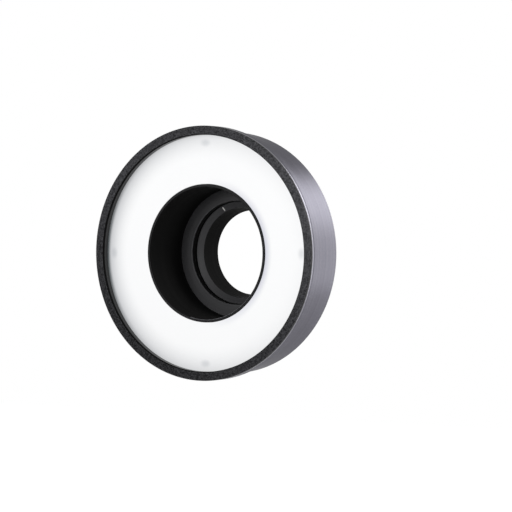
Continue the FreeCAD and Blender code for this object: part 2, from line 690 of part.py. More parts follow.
def rear_screws():
    small = ("small_screw_radius", "small_screw_head_radius")
    large = ("board_screw_radius", "board_screw_head_radius")
    small_reach = "cover_thickness + small_screw_bite"
    large_reach = "collar_screw_seat + collar_screw_bite"
    cap_screws("rear_cover_screws", "cover_screw_circle", "cover_screw_count", "cover_back",
               "small_screw_head_height", small_reach, small, "180 / cover_screw_count")
    cap_screws("tube_screws", "tube_screw_circle", "tube_screw_count", "cover_back",
               "small_screw_head_height", small_reach, small)
    cap_screws("collar_screws", "collar_screw_circle", "collar_screw_count", "collar_screw_face",
               "board_screw_head_height", large_reach, large, "collar_screw_angle")


def control_board():
    body = new_body("control_board")
    inner = "control_board_inside"
    outer = "control_board_outside"
    outline = [(inner, "control_front"), (outer, "control_front"), (outer, "control_back"), (inner, "control_back")]
    turned(body, "sheet", outline, sweep="control_board_sweep")
    for side, sign in (("left", "-"), ("right", "+")):
        disc(body, side + "_hole", "small_screw_radius + slip_gap", "control_front", "control_back",
             "control_circle", "0 %s board_fixing_swing" % sign, cut=True)
    place(body, turn="0 - control_angle")


def control_fixings():
    posts = new_body("control_board_spacers")
    screws = new_body("control_board_screws")
    screw_end = "control_back + small_screw_bite"
    for side, sign in (("left", "-"), ("right", "+")):
        angle = "control_angle %s board_fixing_swing" % sign
        disc(posts, side + "_post", "post_radius", "control_back", "cover_front", "control_circle", angle)
        disc(posts, side + "_bore", "small_screw_radius + thread_gap", "control_back",
             screw_end + " + slip_gap", "control_circle", angle, cut=True)
        disc(screws, side + "_head", "small_screw_head_radius", "control_front - control_screw_head_height",
             "control_front", "control_circle", angle)
        disc(screws, side + "_shank", "small_screw_radius", "control_front", screw_end, "control_circle", angle)


def board_parts():
    header = new_body("link_header")
    prism(header, "header", box_corners("control_circle", "header_width", "header_length"),
          "board_back", "control_front", "control_angle + header_swing")

    cans = new_body("filter_capacitors")
    for side, sign in (("left", "-"), ("right", "+")):
        disc(cans, side + "_can", "capacitor_radius", "control_back", "cover_front - capacitor_gap",
             "control_circle", "control_angle %s capacitor_swing" % sign)

    inductor = new_body("power_inductor")
    prism(inductor, "core", box_corners("control_circle", "inductor_side", "inductor_side"),
          "control_back", "control_back + inductor_height", "dimmer_angle + inductor_swing")

    chips = new_body("driver_chips")
    for index in range(3):
        prism(chips, "chip_%d" % (index + 1), box_corners("control_circle", "chip_width", "chip_length"),
              "control_front - chip_height", "control_front", "control_angle - %d * chip_swing" % (index + 1))


def power_inlet():
    body = new_body("dc_jack")
    turned(body, "turning", [
        ("0", "control_back"),
        ("jack_body_radius", "control_back"),
        ("jack_body_radius", "cover_front"),
        ("jack_nose_radius", "cover_front"),
        ("jack_nose_radius", "nose_end"),
        ("jack_bore", "nose_end"),
        ("jack_bore", "jack_floor"),
        ("0", "jack_floor"),
    ])
    place_control(body, "control_angle")
    body = new_body("dc_jack_pin")
    disc(body, "pin", "jack_pin_radius", "jack_floor", "nose_end - jack_pin_setback")
    place_control(body, "control_angle")
    hexagon_nut("dc_jack_nut", "jack_nose_radius", "control_angle")


def hexagon_nut(name, thread, angle):
    body = new_body(name)
    nut_end = "cover_back + nut_thickness"
    prism(body, "hexagon", hexagon_corners("control_circle", "nut_flats"), "cover_back", nut_end, angle)
    disc(body, "bore", thread + " + thread_gap", "cover_back", nut_end, "control_circle", angle, cut=True)


def dimmer():
    body = new_body("dimmer_pot")
    prism(body, "case", box_corners("0", "pot_side", "pot_side"), "control_back", "cover_front")
    disc(body, "bushing", "bushing_radius", "cover_front", "nose_end")
    disc(body, "shaft_bore", "shaft_radius + shaft_gap", "shaft_start - shaft_end_gap", "nose_end", cut=True)
    place_control(body, "dimmer_angle", upright=True)
    hexagon_nut("dimmer_nut", "bushing_radius", "dimmer_angle")

    body = new_body("dimmer_shaft")
    disc(body, "shaft", "shaft_radius", "shaft_start", "knob_end - knob_top")
    place_control(body, "dimmer_angle", upright=True)

    body = new_body("dimmer_knob")
    turned(body, "turning", [
        ("shaft_radius + knob_fit", "knob_start"),
        ("knob_radius", "knob_start"),
        ("knob_radius", "knob_end - 2 * edge_chamfer"),
        ("knob_radius - 2 * edge_chamfer", "knob_end"),
        ("0", "knob_end"),
        ("0", "knob_end - knob_top"),
        ("shaft_radius + knob_fit", "knob_end - knob_top"),
    ])
    flute = disc(body, "flute", "knob_flute_radius", "knob_start + knob_skirt", "knob_end",
                 "knob_radius", "180 / knob_flute_count", cut=True)
    repeated(body, [flute], "knob_flute_count")
    sketch = new_sketch(body, "screw_hole_shape", "YZ_Plane")
    draw_circle(sketch, "set_screw_depth", "0", "set_screw_radius + thread_gap")
    hole = body.newObject("PartDesign::Pocket", "screw_hole")
    hole.Profile = (sketch, [""])
    hole.setExpression("Length", bound("knob_radius + slip_gap"))
    hole.Reversed = True
    place_control(body, "dimmer_angle", upright=True)

    body = new_body("knob_set_screw")
    start = "shaft_radius + thread_gap"
    end = "knob_radius - set_screw_sink"
    turned(body, "screw", [(start, "0"), (end, "0"), (end, "set_screw_radius"), (start, "set_screw_radius")],
           axis="H_Axis")
    place_control(body, "dimmer_angle", depth="set_screw_depth", upright=True)


def power_switch():
    body = new_body("switch_frame")
    flange_length = "switch_length + 2 * switch_flange"
    flange_width = "switch_width + 2 * switch_flange"
    prism(body, "case", box_corners("0", "switch_length", "switch_width"), "control_back", "cover_back")
    prism(body, "flange", box_corners("0", flange_length, flange_width), "cover_back", "flange_face")
    prism(body, "hollow", box_corners("0", "cavity_length", "cavity_width"),
          "pivot_depth - rocker_radius - rocker_floor_gap", "flange_face", cut=True)
    sketch = new_sketch(body, "pivot_hole_shape", "XY_Plane")
    draw_circle(sketch, "0", "pivot_depth", "rocker_pin_radius + shaft_gap")
    hole = body.newObject("PartDesign::Pocket", "pivot_hole")
    hole.Profile = (sketch, [""])
    hole.SideType = "Symmetric"
    hole.setExpression("Length", bound("switch_width + slip_gap"))
    place_control(body, "switch_angle", upright=True)

    body = new_body("switch_rocker")
    tilt = "rocker_tilt"
    outline = []
    belly_sides = 8
    for step in range(belly_sides + 1):
        angle = 180 + step * 180 / belly_sides
        outline.append(("rocker_radius * cos(%s)" % angle, "rocker_radius * sin(%s)" % angle))
    outline.append(tilted("rocker_radius", "rocker_wing", tilt))
    outline.append(tilted("0", "rocker_dip", tilt))
    outline.append(tilted("0 - rocker_radius", "rocker_wing", tilt))
    sketch = new_sketch(body, "rocker_shape", "XY_Plane")
    draw_polygon(sketch, outline)
    rocker = body.newObject("PartDesign::Pad", "rocker")
    rocker.Profile = (sketch, [""])
    rocker.SideType = "Symmetric"
    rocker.setExpression("Length", bound("cavity_width - 2 * rocker_gap"))
    sketch = new_sketch(body, "trunnion_shape", "XY_Plane")
    draw_circle(sketch, "0", "0", "rocker_pin_radius")
    trunnion = body.newObject("PartDesign::Pad", "trunnion")
    trunnion.Profile = (sketch, [""])
    trunnion.SideType = "Symmetric"
    trunnion.setExpression("Length", bound("switch_width - 2 * slip_gap"))
    place_control(body, "switch_angle", depth="pivot_depth", upright=True)


def tilted(x, y, tilt):
    """A point turned about the origin."""
    return (
        "(%s) * cos(%s) - %s * sin(%s)" % (x, tilt, y, tilt),
        "(%s) * sin(%s) + %s * cos(%s)" % (x, tilt, y, tilt),
    )


def thumb_screws():
    spacing = "360 / thumb_screw_count"
    for index in range(SIZES["thumb_screw_count"][0]):
        turn = "0 - thumb_screw_angle - %d * %s" % (index, spacing)
        number = index + 1

        body = new_body("thumb_screw_%d" % number)
        bore_end = "screw_end + tip_stem_length + tip_end_gap"
        turned(body, "turning", [
            ("screw_end", "tip_stem_radius + thread_gap"),
            ("screw_end", "thumb_thread_radius"),
            ("head_start", "thumb_thread_radius"),
            ("head_start", "thumb_head_radius - 2 * edge_chamfer"),
            ("head_start + 2 * edge_chamfer", "thumb_head_radius"),
            ("head_end - 2 * edge_chamfer", "thumb_head_radius"),
            ("head_end", "thumb_head_radius - 2 * edge_chamfer"),
            ("head_end", "0"),
            (bore_end, "0"),
            (bore_end, "tip_stem_radius + thread_gap"),
        ], axis="H_Axis")
        sketch = new_sketch(body, "flute_shape", "YZ_Plane", "head_end")
        draw_circle(sketch, "thumb_head_radius", "0", "thumb_flute_radius")
        flute = body.newObject("PartDesign::Pocket", "flute")
        flute.Profile = (sketch, [""])
        flute.setExpression("Length", bound("thumb_head_length"))
        repeated(body, [flute], "thumb_flute_count", axis="X_Axis")
        place(body, y="thumb_axis", turn=turn)

        body = new_body("screw_tip_%d" % number)
        shoulder = "tip_end + tip_head_length"
        turned(body, "turning", [
            ("tip_end", "0"),
            ("tip_end", "tip_end_radius"),
            ("tip_end + tip_radius - tip_end_radius", "tip_radius"),
            (shoulder, "tip_radius"),
            (shoulder, "tip_stem_radius"),
            (shoulder + " + tip_stem_length", "tip_stem_radius"),
            (shoulder + " + tip_stem_length", "0"),
        ], axis="H_Axis")
        place(body, y="thumb_axis", turn=turn)


def check(body):
    """Stops if a sub-part or one of its features failed."""
    for thing in [body] + list(body.Group):
        if "Invalid" in thing.State or "Error" in thing.State:
            raise RuntimeError("%s in %s failed: %s" % (thing.Name, body.Label, thing.State))
    if body.Shape.isNull() or not body.Shape.isValid():
        raise RuntimeError("%s has no valid shape" % body.Label)


adapter_ring()
front_bezel()
diffuser_stack()
housing_shell()
inner_tube()
clamp_collar()
reflectors()
led_board()
led_rings()
led_resistors()
board_fixings()
rear_cover()
rear_screws()
control_board()
control_fixings()
board_parts()
power_inlet()
dimmer()
power_switch()
thumb_screws()
document.recompute()

bodies = [thing for thing in document.Objects if thing.TypeId == "PartDesign::Body"]
for made in bodies:
    check(made)
os.makedirs("parts", exist_ok=True)
for made in bodies:
    made.Shape.exportStep("parts/%s.step" % made.Label)
    print(made.Label, len(made.Shape.Solids), "solids, volume %.1f" % made.Shape.Volume)
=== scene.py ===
import bmesh
import bpy
import math
from collections import namedtuple
from mathutils import Matrix, Vector


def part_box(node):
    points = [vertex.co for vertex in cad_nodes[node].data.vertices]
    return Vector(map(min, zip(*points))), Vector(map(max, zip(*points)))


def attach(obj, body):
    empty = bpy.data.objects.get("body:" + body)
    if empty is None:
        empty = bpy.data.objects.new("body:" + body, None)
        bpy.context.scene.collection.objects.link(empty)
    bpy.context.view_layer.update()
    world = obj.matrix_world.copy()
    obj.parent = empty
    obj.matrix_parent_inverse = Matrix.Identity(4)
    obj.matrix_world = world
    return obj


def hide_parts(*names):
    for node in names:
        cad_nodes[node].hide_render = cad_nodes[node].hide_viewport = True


# A lit LED ring light on its lens adapter. The lamp's axis is Y and it shines towards -Y.
# Lengths are in millimetres until a piece is finished, and angles run from +X towards +Z.

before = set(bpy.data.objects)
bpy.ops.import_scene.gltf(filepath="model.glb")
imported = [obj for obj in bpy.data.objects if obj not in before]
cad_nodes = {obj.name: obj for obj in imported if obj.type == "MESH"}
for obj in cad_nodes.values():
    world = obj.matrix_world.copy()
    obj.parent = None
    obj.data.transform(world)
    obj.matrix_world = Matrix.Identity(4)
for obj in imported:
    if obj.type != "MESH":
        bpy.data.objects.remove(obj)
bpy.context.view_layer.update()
MM = 0.001
FULL_TURN = 2 * math.pi


# Camera, placed in metres

FRONT_CENTRE = Vector((0, -0.05465, 0))
CAMERA_AZIMUTH = math.radians(30.9)
CAMERA_ELEVATION = math.radians(0.72)
CAMERA_DISTANCE = 1.148
CAMERA_RIGHT = 0.03050
CAMERA_UP = -0.00147
CAMERA_LENS = 147.26


def standing(x_axis, y_axis, z_axis, place):
    """The matrix of something that stands at a place, with its axes along these three."""
    matrix = Matrix((x_axis, y_axis, z_axis)).transposed().to_4x4()
    matrix.translation = place
    return matrix


def linked(name, data):
    """A new object in the scene."""
    made = bpy.data.objects.new(name, data)
    bpy.context.scene.collection.objects.link(made)
    return made


camera_back = Vector((
    math.sin(CAMERA_AZIMUTH) * math.cos(CAMERA_ELEVATION),
    -math.cos(CAMERA_AZIMUTH) * math.cos(CAMERA_ELEVATION),
    math.sin(CAMERA_ELEVATION),
))
camera_right = Vector((math.cos(CAMERA_AZIMUTH), math.sin(CAMERA_AZIMUTH), 0))
camera_up = camera_back.cross(camera_right)
camera_place = (FRONT_CENTRE + camera_back * CAMERA_DISTANCE + camera_right * CAMERA_RIGHT
                + camera_up * CAMERA_UP)
camera = linked("camera", bpy.data.cameras.new("camera"))
camera.data.lens = CAMERA_LENS
camera.data.sensor_width = 36
camera.matrix_world = standing(camera_right, camera_up, camera_back, camera_place)
bpy.context.scene.camera = camera


# Places, read from the CAD solids

Extent = namedtuple("Extent", "front back inner outer")


def extent(node, start=-math.inf, end=math.inf):
    """A solid's front and back, and its radii about the lamp's axis, between two depths."""
    corners = [v.co / MM for v in cad_nodes[node].data.vertices if start <= v.co.y / MM <= end]
    across = [math.hypot(p.x, p.z) for p in corners]
    along = [p.y for p in corners]
    return Extent(min(along), max(along), min(across), max(across))


def centre_circle(node):
    """The radius of the circle on which a ring of equal fastenings stands."""
    place = extent(node)
    return (place.inner + place.outer) / 2


def directions(angle):
    """Outwards, sideways and backwards, at an angle round the lamp."""
    turn = math.radians(angle)
    outwards = Vector((math.cos(turn), 0, math.sin(turn)))
    sideways = Vector((-math.sin(turn), 0, math.cos(turn)))
    return outwards, sideways, Vector((0, 1, 0))


def round_the_lamp(radius=0.0, angle=0.0, depth=0.0):
    """A spindle along the lamp's axis, at a place round it. Its x runs outwards."""
    outwards, sideways, backwards = directions(angle)
    return standing(outwards, sideways, backwards, outwards * radius + backwards * depth)


def out_of_the_lamp(angle, depth):
    """A spindle that runs outwards from the lamp's axis."""
    outwards, sideways, backwards = directions(angle)
    return standing(sideways, backwards, outwards, backwards * depth)


# Where a solid has steps, a range of depths picks out one of them.
bezel = extent("front_bezel")
clamp_ring = extent("diffuser_clamp_ring")
opal_sheet = extent("diffuser")
seal = extent("diffuser_gasket")
shell = extent("housing_shell")
cover = extent("rear_cover")
tube = extent("inner_tube")
tube_rim = extent("inner_tube", end=tube.front + 1)
tube_shoulder = extent("inner_tube", opal_sheet.back - 0.1, opal_sheet.back + 3)
tube_flange = extent("inner_tube", cover.front - 4, cover.front)
tube_step = extent("inner_tube", start=cover.back + 1)
collar = extent("clamp_collar")
adapter = extent("adapter_ring")
adapter_cone = extent("adapter_ring", end=adapter.front + 2.05)
adapter_flange = extent("adapter_ring", start=collar.back, end=collar.back + 2.4)
light_board = extent("led_board")
CONTROL_CIRCLE = (tube_flange.outer + shell.inner) / 2
INLET_ANGLE = 270
DIMMER_ANGLE = 300
SWITCH_ANGLE = 240
INLET_HOLE = 4.05
DIMMER_HOLE = 3.55
THUMB_ANGLES = (90, 210, 330)
THUMB_DEPTH = sum(corner.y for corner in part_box("screw_tip_1")) / 2 / MM


# Materials

def linear(code):
    """An sRGB hex colour as the linear numbers that a shader takes."""
    channels = [int(code[i:i + 2], 16) / 255 for i in (1, 3, 5)]
    return [c / 12.92 if c <= 0.04045 else ((c + 0.055) / 1.055) ** 2.4 for c in channels] + [1.0]


def add(tree, kind, inputs=None, **settings):
    """Adds one node. An input is a plain value or another node's output."""
    node = tree.nodes.new(kind)
    for name, value in settings.items():
        setattr(node, name, value)
    for key, value in (inputs or {}).items():
        if isinstance(value, bpy.types.NodeSocket):
            tree.links.new(value, node.inputs[key])
        else:
            node.inputs[key].default_value = value
    return node


def compute(tree, operation, *values, clamp=False):
    """What one Math node gives."""
    node = add(tree, "ShaderNodeMath", dict(enumerate(values)), operation=operation, use_clamp=clamp)
    return node.outputs[0]


def mapped(tree, value, start, end, low=0.0, high=1.0, kind="LINEAR"):
    """A value carried from one range to another, and held inside it."""
    return add(tree, "ShaderNodeMapRange", {
        "Value": value, "From Min": start, "From Max": end, "To Min": low, "To Max": high,
    }, interpolation_type=kind).outputs[0]


def mixed(tree, amount, first, second):
    """Two colours mixed. Each is a hex code or another node's output."""
    tones = [linear(tone) if isinstance(tone, str) else tone for tone in (first, second)]
    return add(tree, "ShaderNodeMix", {0: amount, 6: tones[0], 7: tones[1]}, data_type="RGBA").outputs[2]


def object_place(tree):
    """Where a point lies on its object, in metres."""
    return add(tree, "ShaderNodeTexCoord").outputs["Object"]


def about_the_axis(tree, place):
    """A place's radius and angle about the lamp's axis, its depth, and the spoke that points to it."""
    x, y, z = add(tree, "ShaderNodeSeparateXYZ", {0: place}).outputs
    spoke = add(tree, "ShaderNodeCombineXYZ", {"X": x, "Z": z}).outputs[0]
    radius = add(tree, "ShaderNodeVectorMath", {0: spoke}, operation="LENGTH").outputs["Value"]
    return radius, compute(tree, "ARCTAN2", z, x), y, spoke


def noise(tree, place, size, detail, **settings):
    """Noise of a size in mm."""
    return add(tree, "ShaderNodeTexNoise", {"Vector": place, "Scale": 0.5 / (size * MM), "Detail": detail},
               **settings).outputs[0]


def lathe_lines(tree, feed):
    """Rings left by the turning tool on faces and round sides alike, one feed in mm apart."""
    radius, _, depth, _ = about_the_axis(tree, object_place(tree))
    section = add(tree, "ShaderNodeCombineXYZ", {"X": radius, "Y": depth}).outputs[0]
    return noise(tree, section, feed, 2.0, noise_dimensions="2D")


def grain(tree, size):
    """Even grain of a size in mm."""
    return noise(tree, object_place(tree), size, 1.5)


def satin_turning(tree, feed):
    """Turning lines under the even grain of a light blast."""
    lines_share = 0.45
    blast_share = 0.55
    blast_size = 0.3
    lines = compute(tree, "MULTIPLY", lathe_lines(tree, feed), lines_share)
    return compute(tree, "MULTIPLY_ADD", grain(tree, blast_size), blast_share, lines)


# Most of the noise lies in this range.
NOISE_RANGE = (0.3, 0.7)


def plain_material(name):
    """A new material with its tree and its shader."""
    made = bpy.data.materials.new(name)
    made.use_nodes = True
    return made, made.node_tree, made.node_tree.nodes["Principled BSDF"]


def material(name, dark, light, roughness, texture, size, relief, metallic=0.0, **same_all_over):
    """A surface whose colour, roughness and relief all follow one texture. Relief is in mm."""
    made, tree, shader = plain_material(name)
    pattern = texture(tree, size)
    tone = mixed(tree, mapped(tree, pattern, *NOISE_RANGE), dark, light)
    gloss = mapped(tree, pattern, *NOISE_RANGE, *roughness)
    bump = add(tree, "ShaderNodeBump", {"Height": pattern, "Strength": 1.0, "Distance": relief * MM})
    tree.links.new(tone, shader.inputs["Base Color"])
    tree.links.new(gloss, shader.inputs["Roughness"])
    tree.links.new(bump.outputs[0], shader.inputs["Normal"])
    shader.inputs["Metallic"].default_value = metallic
    for socket, value in same_all_over.items():
        shader.inputs[socket.replace("_", " ")].default_value = value
    return made


# Bead-blasted aluminium, dyed black: a soft even charcoal with a fine sparkle. The beads are 0.2 mm,
# drawn at 0.28 mm so that they show.
blasted_black = material("bead_blasted_black_anodised_aluminium", "#0f0f10", "#333335", (0.28, 0.36),
                         grain, 0.28, 0.036, metallic=1.0)

# Turned aluminium with a clear grey anodised coat: a satin sheen that follows the ring, in fine lines.
# The tool's feed is 0.15 mm, drawn at 0.5 mm so that it shows.
turned_grey = material("turned_grey_anodised_aluminium", "#55545b", "#69686f", (0.36, 0.42),
                       satin_turning, 0.5, 0.007, metallic=1.0, Specular_Tint=(0.5, 0.5, 0.5, 1.0))

# The line where the black ends on the bezel's side, cut bright with a diamond tool.
bright_line = material("bright_cut_aluminium_line", "#6b6a72", "#807f88", (0.34, 0.42),
                       lathe_lines, 0.5, 0.003, metallic=1.0)

# Matt black anodised aluminium inside the bore, kept from glaring: almost no light comes back.
matt_black = material("matt_black_anodised_aluminium", "#0a0a0a", "#101010", (0.75, 0.9),
                      lathe_lines, 0.6, 0.006, Specular_IOR_Level=0.03)

# The same black where the tool left it finer: the bezel's edge, the step in the bore and the adapter's cone.
fine_black = material("fine_turned_black_anodised_aluminium", "#1d1d1f", "#262628", (0.5, 0.62),
                      lathe_lines, 0.5, 0.004, Specular_IOR_Level=0.3)

# The wall round the diffuser: the same black with a satin sheen, which mirrors the lit sheet at its foot.
recess_black = material("satin_black_anodised_recess", "#151515", "#1c1c1b", (0.26, 0.34),
                        lathe_lines, 0.5, 0.003, Specular_IOR_Level=0.4)

# The tube's rim: the same black, flat and dry, darker than the step behind it.
rim_black = material("flat_black_anodised_rim", "#0f0f10", "#161617", (0.5, 0.62),
                     lathe_lines, 0.5, 0.004, Specular_IOR_Level=0.08)

# A painted highlight on the rim's inner edge, at its lower right: a lighter metal that shows a thin line of
# light.
rim_highlight_edge = material("rubbed_black_anodised_edge", "#535357", "#66666a", (0.3, 0.42),
                       grain, 0.5, 0.003, metallic=1.0)

# The step's edge, where the tool's last cut left the metal brighter.
cut_edge = material("cut_black_anodised_edge", "#3c3c40", "#4a4a4e", (0.3, 0.42),
                    grain, 0.5, 0.003, metallic=1.0)

# Satin black anodised aluminium of small turned parts: dark, with a soft line of light on each edge.
satin_black = material("satin_black_anodised_aluminium", "#1f1f21", "#272729", (0.34, 0.44),
                       lathe_lines, 0.5, 0.003, metallic=0.6)

# Black oxide on steel screws: blue-black, a little oily, with faint blotches of 1.2 mm.
black_oxide = material("black_oxide_steel", "#1a1b1e", "#2b2c30", (0.28, 0.42),
                       grain, 1.2, 0.003, metallic=0.9)

# Bright nickel plating on steel: pale and warm, with soft tumbling marks.
nickel = material("nickel_plated_steel", "#a9a59d", "#c2beb5", (0.18, 0.3), grain, 0.8, 0.002, metallic=1.0)

# Moulded glass-filled nylon: near black, with the fine spark-eroded texture of its mould.
moulded_nylon = material("moulded_black_nylon", "#161617", "#1f1f20", (0.5, 0.62), grain, 0.35, 0.02)

# Natural nylon of the screw tips: milky, slightly yellow and waxy.
natural_nylon = material("natural_nylon", "#d6d2c2", "#e2dfd2", (0.35, 0.45), grain, 0.9, 0.004,
                         Subsurface_Weight=0.15, Subsurface_Scale=0.002)

# Silicone rubber of the seal: soft grey, dry to the eye.
silicone = material("grey_silicone_rubber", "#7e8083", "#8a8c8f", (0.6, 0.75), grain, 0.5, 0.006)

# White reflector film: bright and matt, with the small dimples of its foamed core.
white_film = material("white_reflector_film", "#e9eae8", "#f2f3f1", (0.55, 0.7), grain, 0.5, 0.004)

# White solder mask on an aluminium board: smooth, with the faint print of the copper below.
white_mask = material("white_solder_mask", "#dcdedb", "#e8eae7", (0.3, 0.42), lathe_lines, 2.2, 0.02)

# Green solder mask on glass-fibre board: glossy, darker where no copper lies under it.
green_mask = material("green_solder_mask", "#12452c", "#1c6b41", (0.25, 0.38), grain, 1.6, 0.02)

# Black moulded epoxy of chips and cores: grey-black and matt, with a fine ejected texture.
epoxy = material("moulded_black_epoxy", "#202123", "#2d2e30", (0.55, 0.7), grain, 0.3, 0.01)

# Shrunk plastic sleeve on a capacitor can: dark blue-black and glossy, with slight waves.
sleeve = material("shrunk_capacitor_sleeve", "#15161d", "#1e2030", (0.2, 0.3), grain, 2.0, 0.02)

# Stamped zinc-plated steel of the dimmer's case: pale grey with long soft smears.
zinc_case = material("zinc_plated_case", "#8f9298", "#a8abb0", (0.3, 0.45), grain, 1.5, 0.004, metallic=1.0)

# White marking paint: flat and slightly grainy.
marking_paint = material("white_marking_paint", "#b4b4b1", "#c4c4c1", (0.5, 0.65), grain, 0.3, 0.004)


def phosphor_package():
    """LED packages: a white ceramic-filled frame round a yellow window of phosphor in silicone."""
    made, tree, shader = plain_material("led_phosphor_package")
    depth = about_the_axis(tree, object_place(tree))[2]
    window_back = light_board.front - 1.1
    window = compute(tree, "LESS_THAN", depth, window_back * MM)
    speckle = grain(tree, 0.25)
    yellow = mixed(tree, speckle, "#d9a52c", "#f1cf5a")
    tree.links.new(mixed(tree, window, "#e8e8e4", yellow), shader.inputs["Base Color"])
    tree.links.new(mapped(tree, speckle, 0.0, 1.0, 0.3, 0.5), shader.inputs["Roughness"])
    return made


phosphor = phosphor_package()


def opal_acrylic():
    """Lit opal acrylic sheet: an even glow that dims and cools at its rims, partly by painted shade, over
    faint screw shadows.
    """
    made, tree, shader = plain_material("lit_opal_acrylic")
    radius, angle = about_the_axis(tree, object_place(tree))[:2]
    side = compute(tree, "COSINE", angle)
    right = compute(tree, "MULTIPLY", side, 1.0, clamp=True)
    left = compute(tree, "MULTIPLY", side, -1.0, clamp=True)
    far_left = compute(tree, "POWER", left, 4.5)

    def between(start, end, low=0.0, high=1.0):
        """A soft step between two radii in mm."""
        return mapped(tree, radius, start * MM, end * MM, low, high, "SMOOTHSTEP")

    # The sheet dims towards its outer rim, by 2.0 on the left and 0.23 on the right: partly the glow's own
    # falloff, and on the left painted shade of the recess wall. It dims a little next to the tube on the
    # right, in painted shade, and a dark line of painted shade runs along its left edge.
    side_shade_weight = compute(tree, "MULTIPLY_ADD", side, -0.884, 1.116)
    rim_falloff_and_shade = compute(tree, "MULTIPLY", between(51.0, 75.0), side_shade_weight, clamp=True)
    left_edge_shade = compute(tree, "MULTIPLY", between(62.8, 65.1), far_left)
    tube_side_shade = compute(tree, "MULTIPLY", between(38.0, 43.0, 1.0, 0.0), right)
    tone = mixed(tree, rim_falloff_and_shade, "#fbfbfb", "#cbccce")
    tone = mixed(tree, left_edge_shade, tone, "#3a4244")
    tone = mixed(tree, tube_side_shade, tone, "#cccdd8")

    # The board's four screws stop a little light, over 5 mm sideways and 3.4 mm outwards at half strength.
    screw_circle = 60.8
    half_width = 3.1
    half_height = 2.1
    swing = compute(tree, "WRAP", angle, math.pi / 4, -math.pi / 4)
    sideways = compute(tree, "MULTIPLY", swing, screw_circle / half_width)
    outwards = compute(tree, "SUBTRACT", radius, screw_circle * MM)
    outwards = compute(tree, "MULTIPLY", outwards, 1 / (half_height * MM))
    reach = add(tree, "ShaderNodeCombineXYZ", {"X": sideways, "Y": outwards}).outputs[0]
    reach = add(tree, "ShaderNodeVectorMath", {0: reach}, operation="LENGTH").outputs["Value"]
    shadow = mapped(tree, reach, 0.2, 1.4, 0.36, 0.0, "SMOOTHSTEP")

    # The sheet's haze: clouds of 9 mm, hardly seen.
    haze = mapped(tree, grain(tree, 9.0), 0.0, 1.0, 0.0, 0.02)
    glow = mixed(tree, compute(tree, "ADD", shadow, haze), tone, "#9aa0a6")
    scratches = grain(tree, 0.4)
    tree.links.new(glow, shader.inputs["Emission Color"])
    tree.links.new(mapped(tree, scratches, 0.0, 1.0, 0.3, 0.42), shader.inputs["Roughness"])
    tree.links.new(mixed(tree, haze, "#57585a", "#67686a"), shader.inputs["Base Color"])
    shader.inputs["Emission Strength"].default_value = 0.815
    shader.inputs["Specular IOR Level"].default_value = 0.3
    return made


opal = opal_acrylic()


# Making

SHARP_ANGLE = math.radians(30)
PAINT = 0.1
PAINT_EDGE = 0.02
SQUARE = ((1, 1), (-1, 1), (-1, -1), (1, -1))


def rounded(corners, steps=4, hold=0.08):
    """Rounds the corners of an outline. A corner is (radius, height, rounding, shape).

    The rounding is in mm and the shape says how the radius changes round the piece, where there are such.
    An arc takes up a part of a side, and a point close beside it holds the rest of that side flat."""
    corners = [tuple(corner) + (0, None)[len(corner) - 2:] for corner in corners]
    outline = []
    for index, (radius, height, rounding, shape) in enumerate(corners):
        here = Vector((radius, height))
        before = Vector(corners[index - 1][:2]) - here
        after = Vector(corners[(index + 1) % len(corners)][:2]) - here
        if not rounding or not before.length or not after.length:
            outline.append((radius, height, shape))
            continue
        half = before.angle(after) / 2
        most = 0.45 * min(before.length, after.length)
        reach = min(rounding / math.tan(half), most)
        size = reach * math.tan(half)
        centre = here + (before.normalized() + after.normalized()).normalized() * size / math.sin(half)
        first = here + before.normalized() * reach
        last = here + after.normalized() * reach
        swing = math.pi - 2 * half
        side = math.copysign(1, (first - centre).cross(last - centre))
        if before.length > 2 * (reach + hold):
            held = first + before.normalized() * hold
            outline.append((held.x, held.y, shape))
        for step in range(steps + 1):
            spoke = Matrix.Rotation(side * swing * step / steps, 2) @ (first - centre)
            outline.append((centre.x + spoke.x, centre.y + spoke.y, shape))
        if after.length > 2 * (reach + hold):
            held = last + after.normalized() * hold
            outline.append((held.x, held.y, shape))
    return outline


def hexagon_corner(flats):
    """The radius at a hexagon's corners."""
    return flats / 2 / math.cos(math.pi / 6)


def hexagon(flats):
    """How far a hexagon's sides lie inside its corners."""
    corner = hexagon_corner(flats)
    return lambda turn: flats / 2 / math.cos((turn % (math.pi / 3)) - math.pi / 6) - corner


def flutes(radius, count, size):
    """How far round flutes cut into a round side."""
    def cut(turn):
        """The change of the radius at an angle."""
        swing = abs((turn + math.pi / count) % (FULL_TURN / count) - math.pi / count)
        across = radius * math.sin(swing)
        if across >= size:
            return 0.0
        return min(0.0, radius * math.cos(swing) - math.sqrt(size ** 2 - across ** 2) - radius)
    return cut


def turned(name, outline, spindle=round_the_lamp(), sides=256):
    """Turns a closed outline about a spindle. One that starts and ends on the spindle needs no bore."""
    work = bmesh.new()
    rings = []
    for radius, height, shape in outline:
        ring = []
        for side in range(sides):
            turn = FULL_TURN * side / sides
            reach = radius + shape(turn) if shape else radius
            spot = Vector((reach * math.cos(turn), reach * math.sin(turn), height))
            ring.append(work.verts.new(spindle @ spot))
        rings.append(ring)
    solid_core = outline[0][0] == 0 and outline[-1][0] == 0
    for index in range(len(rings) - (1 if solid_core else 0)):
        low = rings[index]
        high = rings[(index + 1) % len(rings)]
        for side in range(sides):
            after = (side + 1) % sides
            work.faces.new((low[side], low[after], high[after], high[side]))
    return finished_mesh(name, work)


def finished_mesh(name, work):
    """Makes an object of mesh work in mm: doubles merged, faces outwards, sharp only where faces meet."""
    bmesh.ops.remove_doubles(work, verts=work.verts, dist=0.0005)
    bmesh.ops.dissolve_degenerate(work, edges=work.edges, dist=0.0001)
    bmesh.ops.recalc_face_normals(work, faces=work.faces)
    mesh = bpy.data.meshes.new(name)
    work.to_mesh(mesh)
    work.free()
    mesh.transform(Matrix.Scale(MM, 4))
    mesh.shade_smooth()
    mesh.set_sharp_from_angle(angle=SHARP_ANGLE)
    return linked(name, mesh)


